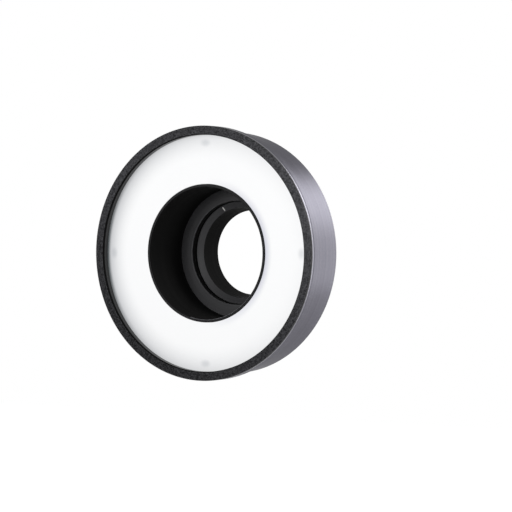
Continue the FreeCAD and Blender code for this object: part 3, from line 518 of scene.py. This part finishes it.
def plate(name, outlines, thickness, edge, spindle):
    """A flat plate with holes: the first outline is its edge. Its faces lie at 0 and at its thickness."""
    curve = bpy.data.curves.new(name, "CURVE")
    curve.dimensions = "2D"
    curve.fill_mode = "BOTH"
    curve.extrude = thickness / 2 - edge
    curve.bevel_depth = edge
    curve.bevel_resolution = 1
    curve.offset = -edge
    for points in outlines:
        spline = curve.splines.new("POLY")
        spline.points.add(len(points) - 1)
        for point, (x, y) in zip(spline.points, points):
            point.co = (x, y, 0, 1)
        spline.use_cyclic_u = True
    drawing = bpy.data.objects.new(name, curve)
    work = bmesh.new()
    work.from_mesh(bpy.data.meshes.new_from_object(drawing))
    bpy.data.objects.remove(drawing)
    work.transform(spindle @ Matrix.Translation((0, 0, thickness / 2)))
    piece = finished_mesh(name, work)
    across = (spindle.to_3x3() @ Vector((0, 0, 1))).normalized()
    for face in piece.data.polygons:
        face.use_smooth = abs(face.normal.dot(across)) < 0.99
    return piece


def softened(name, node, edge):
    """A copy of a CAD solid whose shape is right, with its edges broken by the machine or the mould."""
    work = bmesh.new()
    work.from_mesh(cad_nodes[node].data)
    work.transform(Matrix.Scale(1 / MM, 4))
    bmesh.ops.remove_doubles(work, verts=work.verts, dist=0.002)
    bmesh.ops.dissolve_limit(work, angle_limit=math.radians(0.5), verts=work.verts, edges=work.edges)
    piece = finished_mesh(name, work)
    bevel = piece.modifiers.new("edges", "BEVEL")
    bevel.width = edge * MM
    bevel.segments = 2
    bevel.limit_method = "ANGLE"
    bevel.angle_limit = math.radians(40)
    bevel.use_clamp_overlap = True
    piece.modifiers.new("even shading", "WEIGHTED_NORMAL").keep_sharp = False
    piece.data.shade_smooth()
    made_plain(piece)
    return piece


def made_plain(piece):
    """Turns what a piece's modifiers make into its own mesh."""
    graph = bpy.context.evaluated_depsgraph_get()
    mesh = bpy.data.meshes.new_from_object(piece.evaluated_get(graph))
    piece.modifiers.clear()
    piece.data = mesh
    mesh.name = piece.name


def dressed(piece, body, finish, slot, *solids):
    """Gives a finished piece its material and its body, and hides the solids that it stands for."""
    piece.data.materials.clear()
    piece.data.materials.append(finish)
    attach(piece, body)
    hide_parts(*solids)


def refaced(piece, finish, where, start=0.0, sweep=360.0):
    """Gives a second finish to the faces whose radius, depth and outward slope pass a test.

    They may lie in a sweep of degrees from a start."""
    piece.data.materials.append(finish)
    number = len(piece.data.materials) - 1
    for face in piece.data.polygons:
        spot = face.center / MM
        radius = math.hypot(spot.x, spot.z)
        slope = (face.normal.x * spot.x + face.normal.z * spot.z) / radius
        angle = math.degrees(math.atan2(spot.z, spot.x))
        if (angle - start) % 360 <= sweep and where(radius, spot.y, slope):
            face.material_index = number


def worked_tree(name, numbers, whole_numbers=()):
    """Starts a Geometry Nodes tree. A piece, named sizes and a finish come in, and one shape goes out."""
    tree = bpy.data.node_groups.new(name, "GeometryNodeTree")
    sockets = [("Piece", "Geometry"), ("Finish", "Material")]
    sockets += [(label, "Float") for label in numbers] + [(label, "Int") for label in whole_numbers]
    for label, kind in sockets:
        tree.interface.new_socket(name=label, in_out="INPUT", socket_type="NodeSocket" + kind)
    tree.interface.new_socket(name="Shape", in_out="OUTPUT", socket_type="NodeSocketGeometry")
    return tree, add(tree, "NodeGroupInput").outputs


def end_tree(tree, shape, finish):
    """Ends a tree in real geometry with its material."""
    real = add(tree, "GeometryNodeRealizeInstances", {0: shape}).outputs[0]
    coated = add(tree, "GeometryNodeSetMaterial", {"Geometry": real, "Material": finish}).outputs[0]
    add(tree, "NodeGroupOutput", {0: coated})
    return tree


def copies_tree():
    """Copies of one piece, turned step by step about the lamp's axis."""
    tree, sizes = worked_tree("ring of copies", ("First angle", "Step"), ("Count",))
    points = add(tree, "GeometryNodePoints", {"Count": sizes["Count"]}).outputs[0]
    index = add(tree, "GeometryNodeInputIndex").outputs[0]
    turned_by = compute(tree, "MULTIPLY_ADD", index, sizes["Step"], sizes["First angle"])
    spin = add(tree, "ShaderNodeCombineXYZ", {"Y": compute(tree, "MULTIPLY", turned_by, -1.0)}).outputs[0]
    copies = add(tree, "GeometryNodeInstanceOnPoints", {
        "Points": points, "Instance": sizes["Piece"], "Rotation": spin}).outputs[0]
    return end_tree(tree, copies, sizes["Finish"])


def ribs_tree():
    """Cuts a screw thread or a straight knurl into a round side of a turned piece.

    The cut runs round the lamp's axis with a number of starts, and climbs one pitch in a turn of each."""
    tree, sizes = worked_tree("thread or knurl", (
        "Radius", "Start", "End", "Starts", "Climb", "Depth", "Run-out"))
    place = add(tree, "GeometryNodeInputPosition").outputs[0]
    radius, angle, depth, spoke = about_the_axis(tree, place)
    round_phase = compute(tree, "MULTIPLY", angle, sizes["Starts"])
    phase = compute(tree, "MULTIPLY_ADD", depth, sizes["Climb"], round_phase)
    cut = mapped(tree, compute(tree, "COSINE", phase), -1.0, 1.0)
    from_start = compute(tree, "SUBTRACT", depth, sizes["Start"])
    to_end = compute(tree, "SUBTRACT", sizes["End"], depth)
    fade = mapped(tree, compute(tree, "MINIMUM", from_start, to_end), 0.0, sizes["Run-out"])
    off_side = compute(tree, "ABSOLUTE", compute(tree, "SUBTRACT", radius, sizes["Radius"]))
    inwards = compute(tree, "MULTIPLY", cut, fade)
    for factor in (compute(tree, "LESS_THAN", off_side, 0.02 * MM), sizes["Depth"], -1.0):
        inwards = compute(tree, "MULTIPLY", inwards, factor)
    outwards = add(tree, "ShaderNodeVectorMath", {0: spoke}, operation="NORMALIZE").outputs[0]
    shift = add(tree, "ShaderNodeVectorMath", {0: outwards, "Scale": inwards}, operation="SCALE").outputs[0]
    moved = add(tree, "GeometryNodeSetPosition", {"Geometry": sizes["Piece"], "Offset": shift}).outputs[0]
    return end_tree(tree, moved, sizes["Finish"])


def through_tree(piece, tree, **sizes):
    """Runs a piece through a tree and keeps the result as its mesh."""
    step = piece.modifiers.new(tree.name, "NODES")
    step.node_group = tree
    for item in tree.interface.items_tree:
        label = item.name.replace(" ", "_").replace("-", "_")
        if label in sizes:
            step[item.identifier] = sizes[label]
    made_plain(piece)


COPIES = copies_tree()
RIBS = ribs_tree()


def ring_of(piece, count, first_angle, finish):
    """Repeats a piece that was made at angle 0 round the lamp."""
    through_tree(piece, COPIES, Count=count, First_angle=math.radians(first_angle),
                 Step=math.radians(360 / count), Finish=finish)


# Bezel, diffuser and housing

def front_bezel():
    """The face's black runs over the edge, up to a bright line. The skirt behind it is grey and grooved."""
    chamfer = 0.4
    skirt_bore = shell.outer + 0.05
    black_edge = bezel.front + 1.25
    line_end = black_edge + 0.6
    groove = bezel.front + 3.0
    groove_floor = bezel.outer - 0.12
    piece = turned("bezel_ring", rounded([
        (bezel.inner, bezel.front + chamfer, 0.1),
        (bezel.inner + chamfer, bezel.front, 0.1),
        (bezel.outer, bezel.front, 0.4),
        (bezel.outer, black_edge),
        (bezel.outer, line_end),
        (bezel.outer, groove - 0.25),
        (groove_floor, groove - 0.1),
        (groove_floor, groove + 0.1),
        (bezel.outer, groove + 0.25),
        (bezel.outer, bezel.back, 0.35),
        (skirt_bore, bezel.back, 0.15),
        (skirt_bore, clamp_ring.front),
        (bezel.inner, clamp_ring.front, 0.1),
    ]))
    dressed(piece, "lamp", blasted_black, "black_anodised", "front_bezel")
    refaced(piece, fine_black, lambda radius, depth, slope: slope > 0.3 and depth < black_edge)
    refaced(piece, turned_grey, lambda radius, depth, slope: radius > skirt_bore + 0.1 and depth > black_edge)
    refaced(piece, bright_line, lambda radius, depth, slope: slope > 0.5 and black_edge < depth < line_end)
    # The inward faces take the matt black: on the lip's inner wall this is painted shade, a dark line round
    # the recess.
    refaced(piece, matt_black, lambda radius, depth, slope: slope < -0.5)


def flat_ring(name, place, edge, steps=4):
    """A ring of rectangular section with rounded edges."""
    return turned(name, rounded([
        (place.inner, place.front, edge),
        (place.outer, place.front, edge),
        (place.outer, place.back, edge),
        (place.inner, place.back, edge),
    ], steps=steps))


def diffuser_and_clamp():
    """The lit sheet on its seal, and the ring that holds it, cut away a little next to the sheet."""
    piece = flat_ring("opal_sheet", opal_sheet, 0.25)
    dressed(piece, "lamp", opal, "opal_acrylic", "diffuser")

    rebate = clamp_ring.inner + 0.45
    rebate_front = clamp_ring.back - 0.6
    piece = turned("clamp_ring_of_diffuser", rounded([
        (clamp_ring.inner, clamp_ring.front),
        (clamp_ring.outer, clamp_ring.front, 0.1),
        (clamp_ring.outer, clamp_ring.back, 0.1),
        (rebate, clamp_ring.back, 0.1),
        (rebate, rebate_front),
        (clamp_ring.inner, rebate_front, 0.1),
    ]))
    dressed(piece, "lamp", recess_black, "black_anodised", "diffuser_clamp_ring")
    # Painted shade: the cut-away next to the sheet takes the matt black, darker than the rest of the ring.
    refaced(piece, matt_black, lambda radius, depth, slope: radius > clamp_ring.inner + 0.1 and slope < 0.5)

    piece = flat_ring("seal_of_diffuser", seal, 0.15, steps=3)
    dressed(piece, "lamp", silicone, "silicone", "diffuser_gasket")


def housing():
    """The body, with a seat for the seal in front and one for the cover behind."""
    bore = cover.outer
    seat = opal_sheet.outer + 0.1
    piece = turned("housing_ring", rounded([
        (seat, shell.front, 0.15),
        (shell.outer, shell.front, 0.25),
        (shell.outer, shell.back, 0.75),
        (bore + 0.1, shell.back, 0.25),
        (bore + 0.1, cover.front),
        (shell.inner, cover.front, 0.2),
        (shell.inner, tube_flange.front, 0.2),
        (bore, tube_flange.front),
        (bore, seal.back, 0.15),
        (seat, seal.back),
    ]))
    dressed(piece, "lamp", turned_grey, "grey_anodised", "housing_shell")


def bore_tube():
    """The tube with its rim, shoulder, flange and step. The rim's inner edge has a painted highlight at its
    lower right only.
    """
    piece = turned("bore_tube", rounded([
        (tube_rim.inner, tube.front, 0.5),
        (tube_rim.outer, tube.front, 0.35),
        (tube_rim.outer, tube_shoulder.front),
        (tube_shoulder.outer, tube_shoulder.front, 0.15),
        (tube_shoulder.outer, tube_shoulder.back, 0.15),
        (tube_rim.outer, tube_shoulder.back),
        (tube_rim.outer, tube_flange.front),
        (tube_flange.outer, tube_flange.front, 0.2),
        (tube_flange.outer, cover.front, 0.2),
        (tube_rim.outer, cover.front),
        (tube_rim.outer, tube_step.back),
        (tube_step.inner, tube_step.back, 0.2),
        (tube_step.inner, tube_step.front, 0.35),
        (tube_rim.inner, tube_step.front),
    ]))
    dressed(piece, "lamp", matt_black, "black_anodised", "inner_tube")
    refaced(piece, rim_black, lambda radius, depth, slope: depth < tube.front + 0.2)
    # A painted highlight: a lighter metal on the rim's inner edge, at its lower right only.
    refaced(piece, rim_highlight_edge, lambda radius, depth, slope: (
        depth < tube.front + 0.45 and radius < tube_rim.inner + 0.4), start=255, sweep=135)
    refaced(piece, cut_edge, lambda radius, depth, slope: (
        radius < tube_step.inner + 0.3 and abs(depth - tube_step.front) < 0.3))
    refaced(piece, fine_black, lambda radius, depth, slope: (
        depth < tube_step.front + 0.2 and radius < tube_rim.inner - 0.05
        or depth > cover.back and slope > 0.5))


def clamp_collar():
    """The collar that carries the thumb screws."""
    piece = softened("clamp_collar_ring", "clamp_collar", 0.15)
    dressed(piece, "lamp", satin_black, "black_anodised", "clamp_collar")
    refaced(piece, matt_black, lambda radius, depth, slope: slope < -0.9 and radius < collar.inner + 0.5)


# Adapter ring

CONE_CHAMFER = 0.35


def adapter_ring():
    """A ring with a V groove for the thumb screws' tips, a knurled flange and the thread for the lens."""
    groove_depth = 1.35
    groove_floor = 1.8
    groove_front = THUMB_DEPTH - groove_floor / 2
    groove_back = THUMB_DEPTH + groove_floor / 2
    thread_radius = 26.0
    thread_pitch = 0.75
    thread_rows = 36
    thread_start = adapter_flange.back
    thread_length = adapter.back - thread_start
    corners = rounded([
        (adapter_cone.inner, adapter_cone.back, 0.15),
        (adapter_cone.outer - CONE_CHAMFER, adapter.front, 0.15),
        (adapter_cone.outer, adapter.front + CONE_CHAMFER, 0.1),
        (adapter_cone.outer, groove_front - groove_depth, 0.1),
        (adapter_cone.outer - groove_depth, groove_front),
        (adapter_cone.outer - groove_depth, groove_back),
        (adapter_cone.outer, groove_back + groove_depth, 0.1),
        (adapter_cone.outer, adapter_flange.front),
        (adapter.outer, adapter_flange.front, 0.3),
        (adapter.outer, adapter_flange.back, 0.3),
        (thread_radius, thread_start),
    ])
    for row in range(1, thread_rows):
        corners.append((thread_radius, thread_start + thread_length * row / thread_rows, None))
    corners += rounded([
        (thread_radius, adapter.back, 0.25),
        (adapter.inner, adapter.back, 0.2),
        (adapter_cone.inner, adapter_cone.back + 0.5),
    ])[:-1]
    piece = turned("lens_adapter_ring", corners, sides=480)
    through_tree(piece, RIBS, Radius=thread_radius * MM, Start=thread_start * MM, End=adapter.back * MM,
                 Starts=1.0, Climb=FULL_TURN / (thread_pitch * MM), Depth=0.40 * MM, Run_out=0.6 * MM,
                 Finish=satin_black)
    through_tree(piece, RIBS, Radius=adapter.outer * MM, Start=(adapter_flange.front + 0.3) * MM,
                 End=(adapter_flange.back - 0.3) * MM, Starts=120.0, Climb=0.0, Depth=0.25 * MM,
                 Run_out=0.05 * MM, Finish=satin_black)
    piece.data.shade_smooth()
    piece.data.set_sharp_from_angle(angle=SHARP_ANGLE)
    dressed(piece, "adapter", satin_black, "satin_black_anodised", "adapter_ring")
    refaced(piece, fine_black, lambda radius, depth, slope: depth < adapter_cone.back and slope < 0.1)
    refaced(piece, matt_black, lambda radius, depth, slope: slope < -0.9)


def index_line():
    """A painted line on the adapter's cone, to set the lamp by."""
    angle = 115
    half_length = 1.2
    half_width = 0.275
    cone_edge = adapter_cone.outer - CONE_CHAMFER
    middle = (adapter_cone.inner + cone_edge) / 2
    depth = (adapter_cone.back + adapter.front) / 2
    slope = math.atan2(adapter_cone.back - adapter.front, cone_edge - adapter_cone.inner)
    spindle = (round_the_lamp(middle, angle, depth) @ Matrix.Rotation(slope, 4, "Y")
               @ Matrix.Translation((0, 0, -PAINT / 2)))
    corners = [(x * half_length, y * half_width) for x, y in SQUARE]
    piece = plate("index_line", [corners], PAINT, PAINT_EDGE, spindle)
    dressed(piece, "adapter", marking_paint, "satin_black_anodised")


# Thumb screws

def thumb_screws():
    """Fluted heads on plain shanks. The end of each shank holds the neck of a nylon tip."""
    head_start = collar.outer + 0.9
    head_end = head_start + 9.2
    head_radius = 5.5
    shank_radius = 2.0
    neck_hole = 0.85
    neck_radius = 0.8
    tip_radius = 1.35
    grip = flutes(head_radius, 20, 0.5)
    for number, angle in enumerate(THUMB_ANGLES, start=1):
        spindle = out_of_the_lamp(angle, THUMB_DEPTH)
        node = "thumb_screw_%d" % number
        end = extent(node).inner
        piece = turned("thumb_screw_head_%d" % number, rounded([
            (0, end + 1.9),
            (neck_hole, end + 1.9),
            (neck_hole, end),
            (shank_radius, end, 0.2),
            (shank_radius, head_start),
            (head_radius - 1.2, head_start),
            (head_radius, head_start, 0.6, grip),
            (head_radius, head_end, 0.7, grip),
            (head_radius - 1.5, head_end, 0.15),
            (head_radius - 1.7, head_end - 0.35, 0.15),
            (0, head_end - 0.35),
        ]), spindle, sides=200)
        dressed(piece, "screw_%d" % number, satin_black, "black_anodised", node)

        node = "screw_tip_%d" % number
        end = extent(node).inner
        piece = turned("nylon_tip_%d" % number, rounded([
            (0, end),
            (neck_radius, end, 0.1),
            (tip_radius, end + 0.55, 0.1),
            (tip_radius, end + 1.8, 0.1),
            (neck_radius, end + 1.8),
            (neck_radius, end + 4.2, 0.15),
            (0, end + 4.2),
        ]), spindle, sides=48)
        dressed(piece, "tip_%d" % number, natural_nylon, "nylon", node)


# Rear cover and its fastenings

def arc_points(x, y, radius, start, sweep, steps):
    """Points along an arc, with both ends."""
    turns = [start + sweep * step / steps for step in range(steps + 1)]
    return [(x + radius * math.cos(turn), y + radius * math.sin(turn)) for turn in turns]


def circle_points(radius, sides=40):
    """A round hole or edge of a plate."""
    return arc_points(0, 0, radius, 0, FULL_TURN, sides)[:-1]


def placed_outline(points, radius, angle):
    """Moves an outline, drawn with x outwards, to a place round the lamp."""
    cos = math.cos(math.radians(angle))
    sin = math.sin(math.radians(angle))
    return [((radius + x) * cos - y * sin, (radius + x) * sin + y * cos) for x, y in points]


def slot_points(length, width):
    """A slot with round ends, drawn along x."""
    end = (length - width) / 2
    return (arc_points(end, 0, width / 2, -math.pi / 2, math.pi, 8)
            + arc_points(-end, 0, width / 2, math.pi / 2, math.pi, 8))


def rectangle_points(width, height, corner):
    """A rectangle with rounded corners."""
    points = []
    for quarter, (x, y) in enumerate(SQUARE):
        points += arc_points(x * (width / 2 - corner), y * (height / 2 - corner), corner,
                             quarter * math.pi / 2, math.pi / 2, 4)
    return points


def rear_cover():
    """A plate with holes for two circles of screws, the vents and the controls."""
    vents = 22
    first_vent = 200
    vent_sweep = 220
    outlines = [circle_points(cover.outer - 0.05, sides=256), circle_points(cover.inner, sides=192)]
    screw_hole = circle_points(1.35, sides=24)
    for node, count, first in (("rear_cover_screws", 8, 22.5), ("tube_screws", 6, 0)):
        for index in range(count):
            outlines.append(placed_outline(screw_hole, centre_circle(node), first + 360 * index / count))
    for index in range(vents):
        angle = first_vent - vent_sweep * index / (vents - 1)
        outlines.append(placed_outline(slot_points(8.0, 1.8), CONTROL_CIRCLE, angle))
    for points, angle in (
        (circle_points(INLET_HOLE), INLET_ANGLE),
        (circle_points(DIMMER_HOLE), DIMMER_ANGLE),
        (rectangle_points(9.0, 14.0, 0.4), SWITCH_ANGLE),
    ):
        outlines.append(placed_outline(points, CONTROL_CIRCLE, angle))
    spindle = round_the_lamp(depth=cover.front)
    piece = plate("rear_cover_plate", outlines, cover.back - cover.front, 0.2, spindle)
    dressed(piece, "lamp", turned_grey, "grey_anodised", "rear_cover")


def cap_screws(name, node, count, first_angle, seat, head_radius=2.25, head_height=1.5,
               shank_radius=1.25, reach=5.0):
    """A ring of cap screws with hexagon sockets, M2.5 where nothing else is said."""
    socket_flats = 1.5
    socket = hexagon(socket_flats)
    corner = hexagon_corner(socket_flats)
    top = seat + head_height
    outline = rounded([
        (0, seat - reach),
        (shank_radius - 0.3, seat - reach),
        (shank_radius, seat - reach + 0.3),
        (shank_radius, seat),
        (head_radius, seat, 0.1),
        (head_radius, top, 0.3),
        (corner + 0.12, top, 0.0, socket),
        (corner, top - 0.12, 0.0, socket),
        (corner, top - 0.9, 0.0, socket),
        (0, top - 1.05),
    ], steps=3)
    piece = turned(name, outline, round_the_lamp(centre_circle(node)), sides=48)
    ring_of(piece, count, first_angle, black_oxide)
    dressed(piece, "lamp", black_oxide, "black_steel", node)


def rear_screws():
    """The screws of the cover and of the tube's flange, and the longer M3 ones of the collar."""
    cap_screws("cover_screws", "rear_cover_screws", 8, 22.5, cover.back)
    cap_screws("flange_screws", "tube_screws", 6, 0.0, cover.back)
    cap_screws("collar_cap_screws", "collar_screws", 3, 30.0, tube_step.back + 5.6,
               head_radius=2.75, head_height=2.0, shank_radius=1.5, reach=8.0)


# Controls on the rear cover

def hexagon_nut(name, node, bore, angle):
    """A thin nut, chamfered at its outer face."""
    place = extent(node)
    flats = 11.0
    corner = hexagon_corner(flats)
    side = hexagon(flats)
    outline = [
        (bore, place.front, None),
        (corner, place.front, side),
        (corner, place.back - 0.45, side),
        (corner, place.back - 0.2, lambda turn: min(side(turn), flats / 2 + 0.25 - corner)),
        (corner, place.back, lambda turn: min(side(turn), flats / 2 - 0.15 - corner)),
        (bore + 0.35, place.back, None),
        (bore, place.back - 0.35, None),
    ]
    piece = turned(name, outline, round_the_lamp(CONTROL_CIRCLE, angle), sides=72)
    dressed(piece, "lamp", nickel, "nickel_plated_steel", node)


def power_inlet():
    """A barrel inlet with its pin, and the nuts of the inlet and of the dimmer's bushing."""
    place = extent("dc_jack")
    pin = extent("dc_jack_pin")
    body_radius = 4.6
    barrel_radius = 4.0
    plug_hole = 2.8
    pin_radius = 1.05
    spindle = round_the_lamp(CONTROL_CIRCLE, INLET_ANGLE)
    piece = turned("power_inlet_barrel", rounded([
        (0, place.front),
        (body_radius, place.front, 0.3),
        (body_radius, cover.front, 0.1),
        (barrel_radius, cover.front),
        (barrel_radius, place.back, 0.3),
        (plug_hole, place.back, 0.35),
        (plug_hole, pin.front),
        (0, pin.front),
    ]), spindle, sides=64)
    dressed(piece, "lamp", moulded_nylon, "moulded_black", "dc_jack")
    piece = turned("power_inlet_pin", rounded([
        (0, pin.front),
        (pin_radius, pin.front),
        (pin_radius, pin.back, 0.45),
        (0.3, pin.back),
        (0, pin.back - 0.1),
    ]), spindle, sides=32)
    dressed(piece, "lamp", nickel, "nickel_plated_steel", "dc_jack_pin")
    hexagon_nut("power_inlet_nut", "dc_jack_nut", INLET_HOLE, INLET_ANGLE)
    hexagon_nut("dimmer_bushing_nut", "dimmer_nut", DIMMER_HOLE, DIMMER_ANGLE)


def dimmer_knob():
    """The knob, with a painted pointer on its end."""
    piece = softened("dimmer_grip", "dimmer_knob", 0.12)
    dressed(piece, "dimmer", moulded_nylon, "moulded_black", "dimmer_knob")
    sunk = 0.04
    off_middle = 3.4
    spindle = (round_the_lamp(CONTROL_CIRCLE, DIMMER_ANGLE, extent("dimmer_knob").back - sunk)
               @ Matrix.Translation((-off_middle, 0, 0)))
    piece = plate("dimmer_pointer", [rectangle_points(3.6, 0.8, 0.35)], PAINT, PAINT_EDGE, spindle)
    dressed(piece, "dimmer", marking_paint, "moulded_black")


def power_switch():
    """A rocker in its frame. Its two slopes rise from a dip at the middle to wings at the ends."""
    piece = softened("switch_bezel", "switch_frame", 0.2)
    dressed(piece, "lamp", moulded_nylon, "moulded_black", "switch_frame")
    piece = softened("switch_paddle", "switch_rocker", 0.15)
    dressed(piece, "rocker", moulded_nylon, "moulded_black", "switch_rocker")

    # The marks lie half-way up the rocker's two slopes, painted a little thinner than elsewhere. The end
    # marked with a bar is pressed in: the lamp is on.
    dip = 2.2
    wing = 3.6
    reach = 5.5
    share = 0.52
    sunk = 0.03
    slope = math.atan2(wing - dip, reach)
    tilt = math.radians(8)
    frame_top = cover.back + 1.2
    outwards, sideways, backwards = directions(SWITCH_ANGLE)
    pivot_place = outwards * CONTROL_CIRCLE + backwards * (frame_top - dip)
    pivot = standing(-sideways, backwards, outwards, pivot_place)
    for mark, side, outlines in (
        ("on_mark", -1, [rectangle_points(0.45, 2.4, 0.2)]),
        ("off_mark", 1, [circle_points(1.2, sides=32), circle_points(0.78, sides=32)]),
    ):
        middle = Vector((side * reach * share, dip + (wing - dip) * share, 0))
        face = (pivot @ Matrix.Rotation(tilt, 4, "Z") @ Matrix.Translation(middle)
                @ Matrix.Rotation(side * slope, 4, "Z") @ Matrix.Rotation(-math.pi / 2, 4, "X")
                @ Matrix.Translation((0, 0, -sunk)))
        piece = plate("switch_" + mark, outlines, 0.09, 0.015, face)
        dressed(piece, "rocker", marking_paint, "moulded_black")


# Inside the lamp

def light_sources():
    """Each package is a small frame with a shallow round window, raised a little."""
    height = 1.2
    side = 3.5
    rise = 0.08
    quarter_turn = Matrix.Rotation(math.pi / 2, 4, "X")
    for node, count in (("leds_inner", 24), ("leds_middle", 30), ("leds_outer", 36)):
        place = extent(node)
        circle = math.sqrt(place.outer ** 2 - (side / 2) ** 2) - side / 2
        work = bmesh.new()
        bmesh.ops.create_cube(work, size=1.0, matrix=Matrix.Diagonal((side, height - rise, side, 1)))
        bmesh.ops.bevel(work, geom=work.edges[:], offset=0.12, segments=1, affect="EDGES")
        work.transform(Matrix.Translation((0, rise / 2, 0)))
        bmesh.ops.create_cone(work, cap_ends=True, segments=14, radius1=1.25, radius2=1.15, depth=2 * rise,
                              matrix=Matrix.Translation((0, rise - height / 2, 0)) @ quarter_turn)
        work.transform(Matrix.Translation((circle, place.back - height / 2, 0)))
        piece = finished_mesh("light_sources_" + node.removeprefix("leds_"), work)
        ring_of(piece, count, 180 / count, phosphor)
        dressed(piece, "lamp", phosphor, "led_phosphor", node)


def inner_parts():
    """The solids inside the lamp keep their shapes and get the finishes of the real parts."""
    for finish, names in (
        (white_film, ("outer_reflector", "inner_reflector")),
        (white_mask, ("led_board",)),
        (green_mask, ("control_board",)),
        (epoxy, ("led_resistors", "driver_chips", "link_header", "power_inductor")),
        (nickel, ("board_standoffs", "led_board_screws", "control_board_spacers", "control_board_screws",
                  "dimmer_shaft")),
        (sleeve, ("filter_capacitors",)),
        (zinc_case, ("dimmer_pot",)),
        (black_oxide, ("knob_set_screw",)),
    ):
        for name in names:
            mesh = cad_nodes[name].data
            mesh.materials.clear()
            mesh.materials.append(finish)


front_bezel()
diffuser_and_clamp()
housing()
bore_tube()
clamp_collar()
adapter_ring()
index_line()
thumb_screws()
rear_cover()
rear_screws()
power_inlet()
dimmer_knob()
power_switch()
light_sources()
inner_parts()


# Studio

def studio_strength(tree, unseen, seen):
    """One strength for what the camera, mirrors and glass see, and another for the light that falls."""
    rays = add(tree, "ShaderNodeLightPath").outputs
    looked_at = compute(tree, "MAXIMUM", rays["Is Camera Ray"], rays["Is Glossy Ray"])
    looked_at = compute(tree, "MAXIMUM", looked_at, rays["Is Transmission Ray"])
    return mapped(tree, looked_at, 0.0, 1.0, unseen, seen)


def soft_lamp(name, place, size, radiance):
    """A soft box that faces the ring. Its place and size are in metres."""
    data = bpy.data.lights.new(name, "AREA")
    data.shape = "RECTANGLE"
    data.size, data.size_y = size
    data.energy = radiance * math.pi * size[0] * size[1]
    lamp = linked(name, data)
    place = Vector(place)
    lamp.matrix_world = Matrix.Translation(place) @ place.to_track_quat("Z", "Y").to_matrix().to_4x4()
    lamp.visible_camera = False


def studio():
    """White all round, soft boxes behind and in front, and a pale floor that keeps the shadow."""
    white = (1.0, 1.0, 1.0, 1.0)
    world = bpy.data.worlds.new("white studio")
    world.use_nodes = True
    tree = world.node_tree
    tree.nodes.clear()
    sky = add(tree, "ShaderNodeBackground", {"Color": white, "Strength": studio_strength(tree, 0.4, 1.0)})
    add(tree, "ShaderNodeOutputWorld", {"Surface": sky.outputs[0]})
    bpy.context.scene.world = world

    soft_lamp("key_behind_above", Vector((0.33, 0.86, 0.36)) * 1.25, (0.55, 0.52), 8.0)
    soft_lamp("fill_behind_level", Vector((0.49, 0.86, -0.07)) * 0.62, (0.34, 0.30), 3.0)
    soft_lamp("front_lamp_near", (-0.30, -0.25, 0.10), (0.16, 0.16), 4.3)
    soft_lamp("front_lamp_far", (-0.10, -0.70, 0.10), (0.20, 0.20), 20.0)
    soft_lamp("bore_lamp", (0.25, -0.55, 0.15), (0.16, 0.16), 11.0)

    half_floor = 1.5
    floor_level = -0.25
    mesh = bpy.data.meshes.new("floor")
    mesh.from_pydata([(x * half_floor, y * half_floor, floor_level) for x, y in SQUARE], [], [(0, 1, 2, 3)])
    floor = linked("floor", mesh)
    paper, tree, shader = plain_material("white_paper_floor")
    shader.inputs["Base Color"].default_value = linear("#e6e6e6")
    shader.inputs["Roughness"].default_value = 0.9
    shader.inputs["Emission Color"].default_value = white
    tree.links.new(studio_strength(tree, 0.0, 0.65), shader.inputs["Emission Strength"])
    mesh.materials.append(paper)
    bpy.context.scene.view_settings.view_transform = "Standard"


studio()
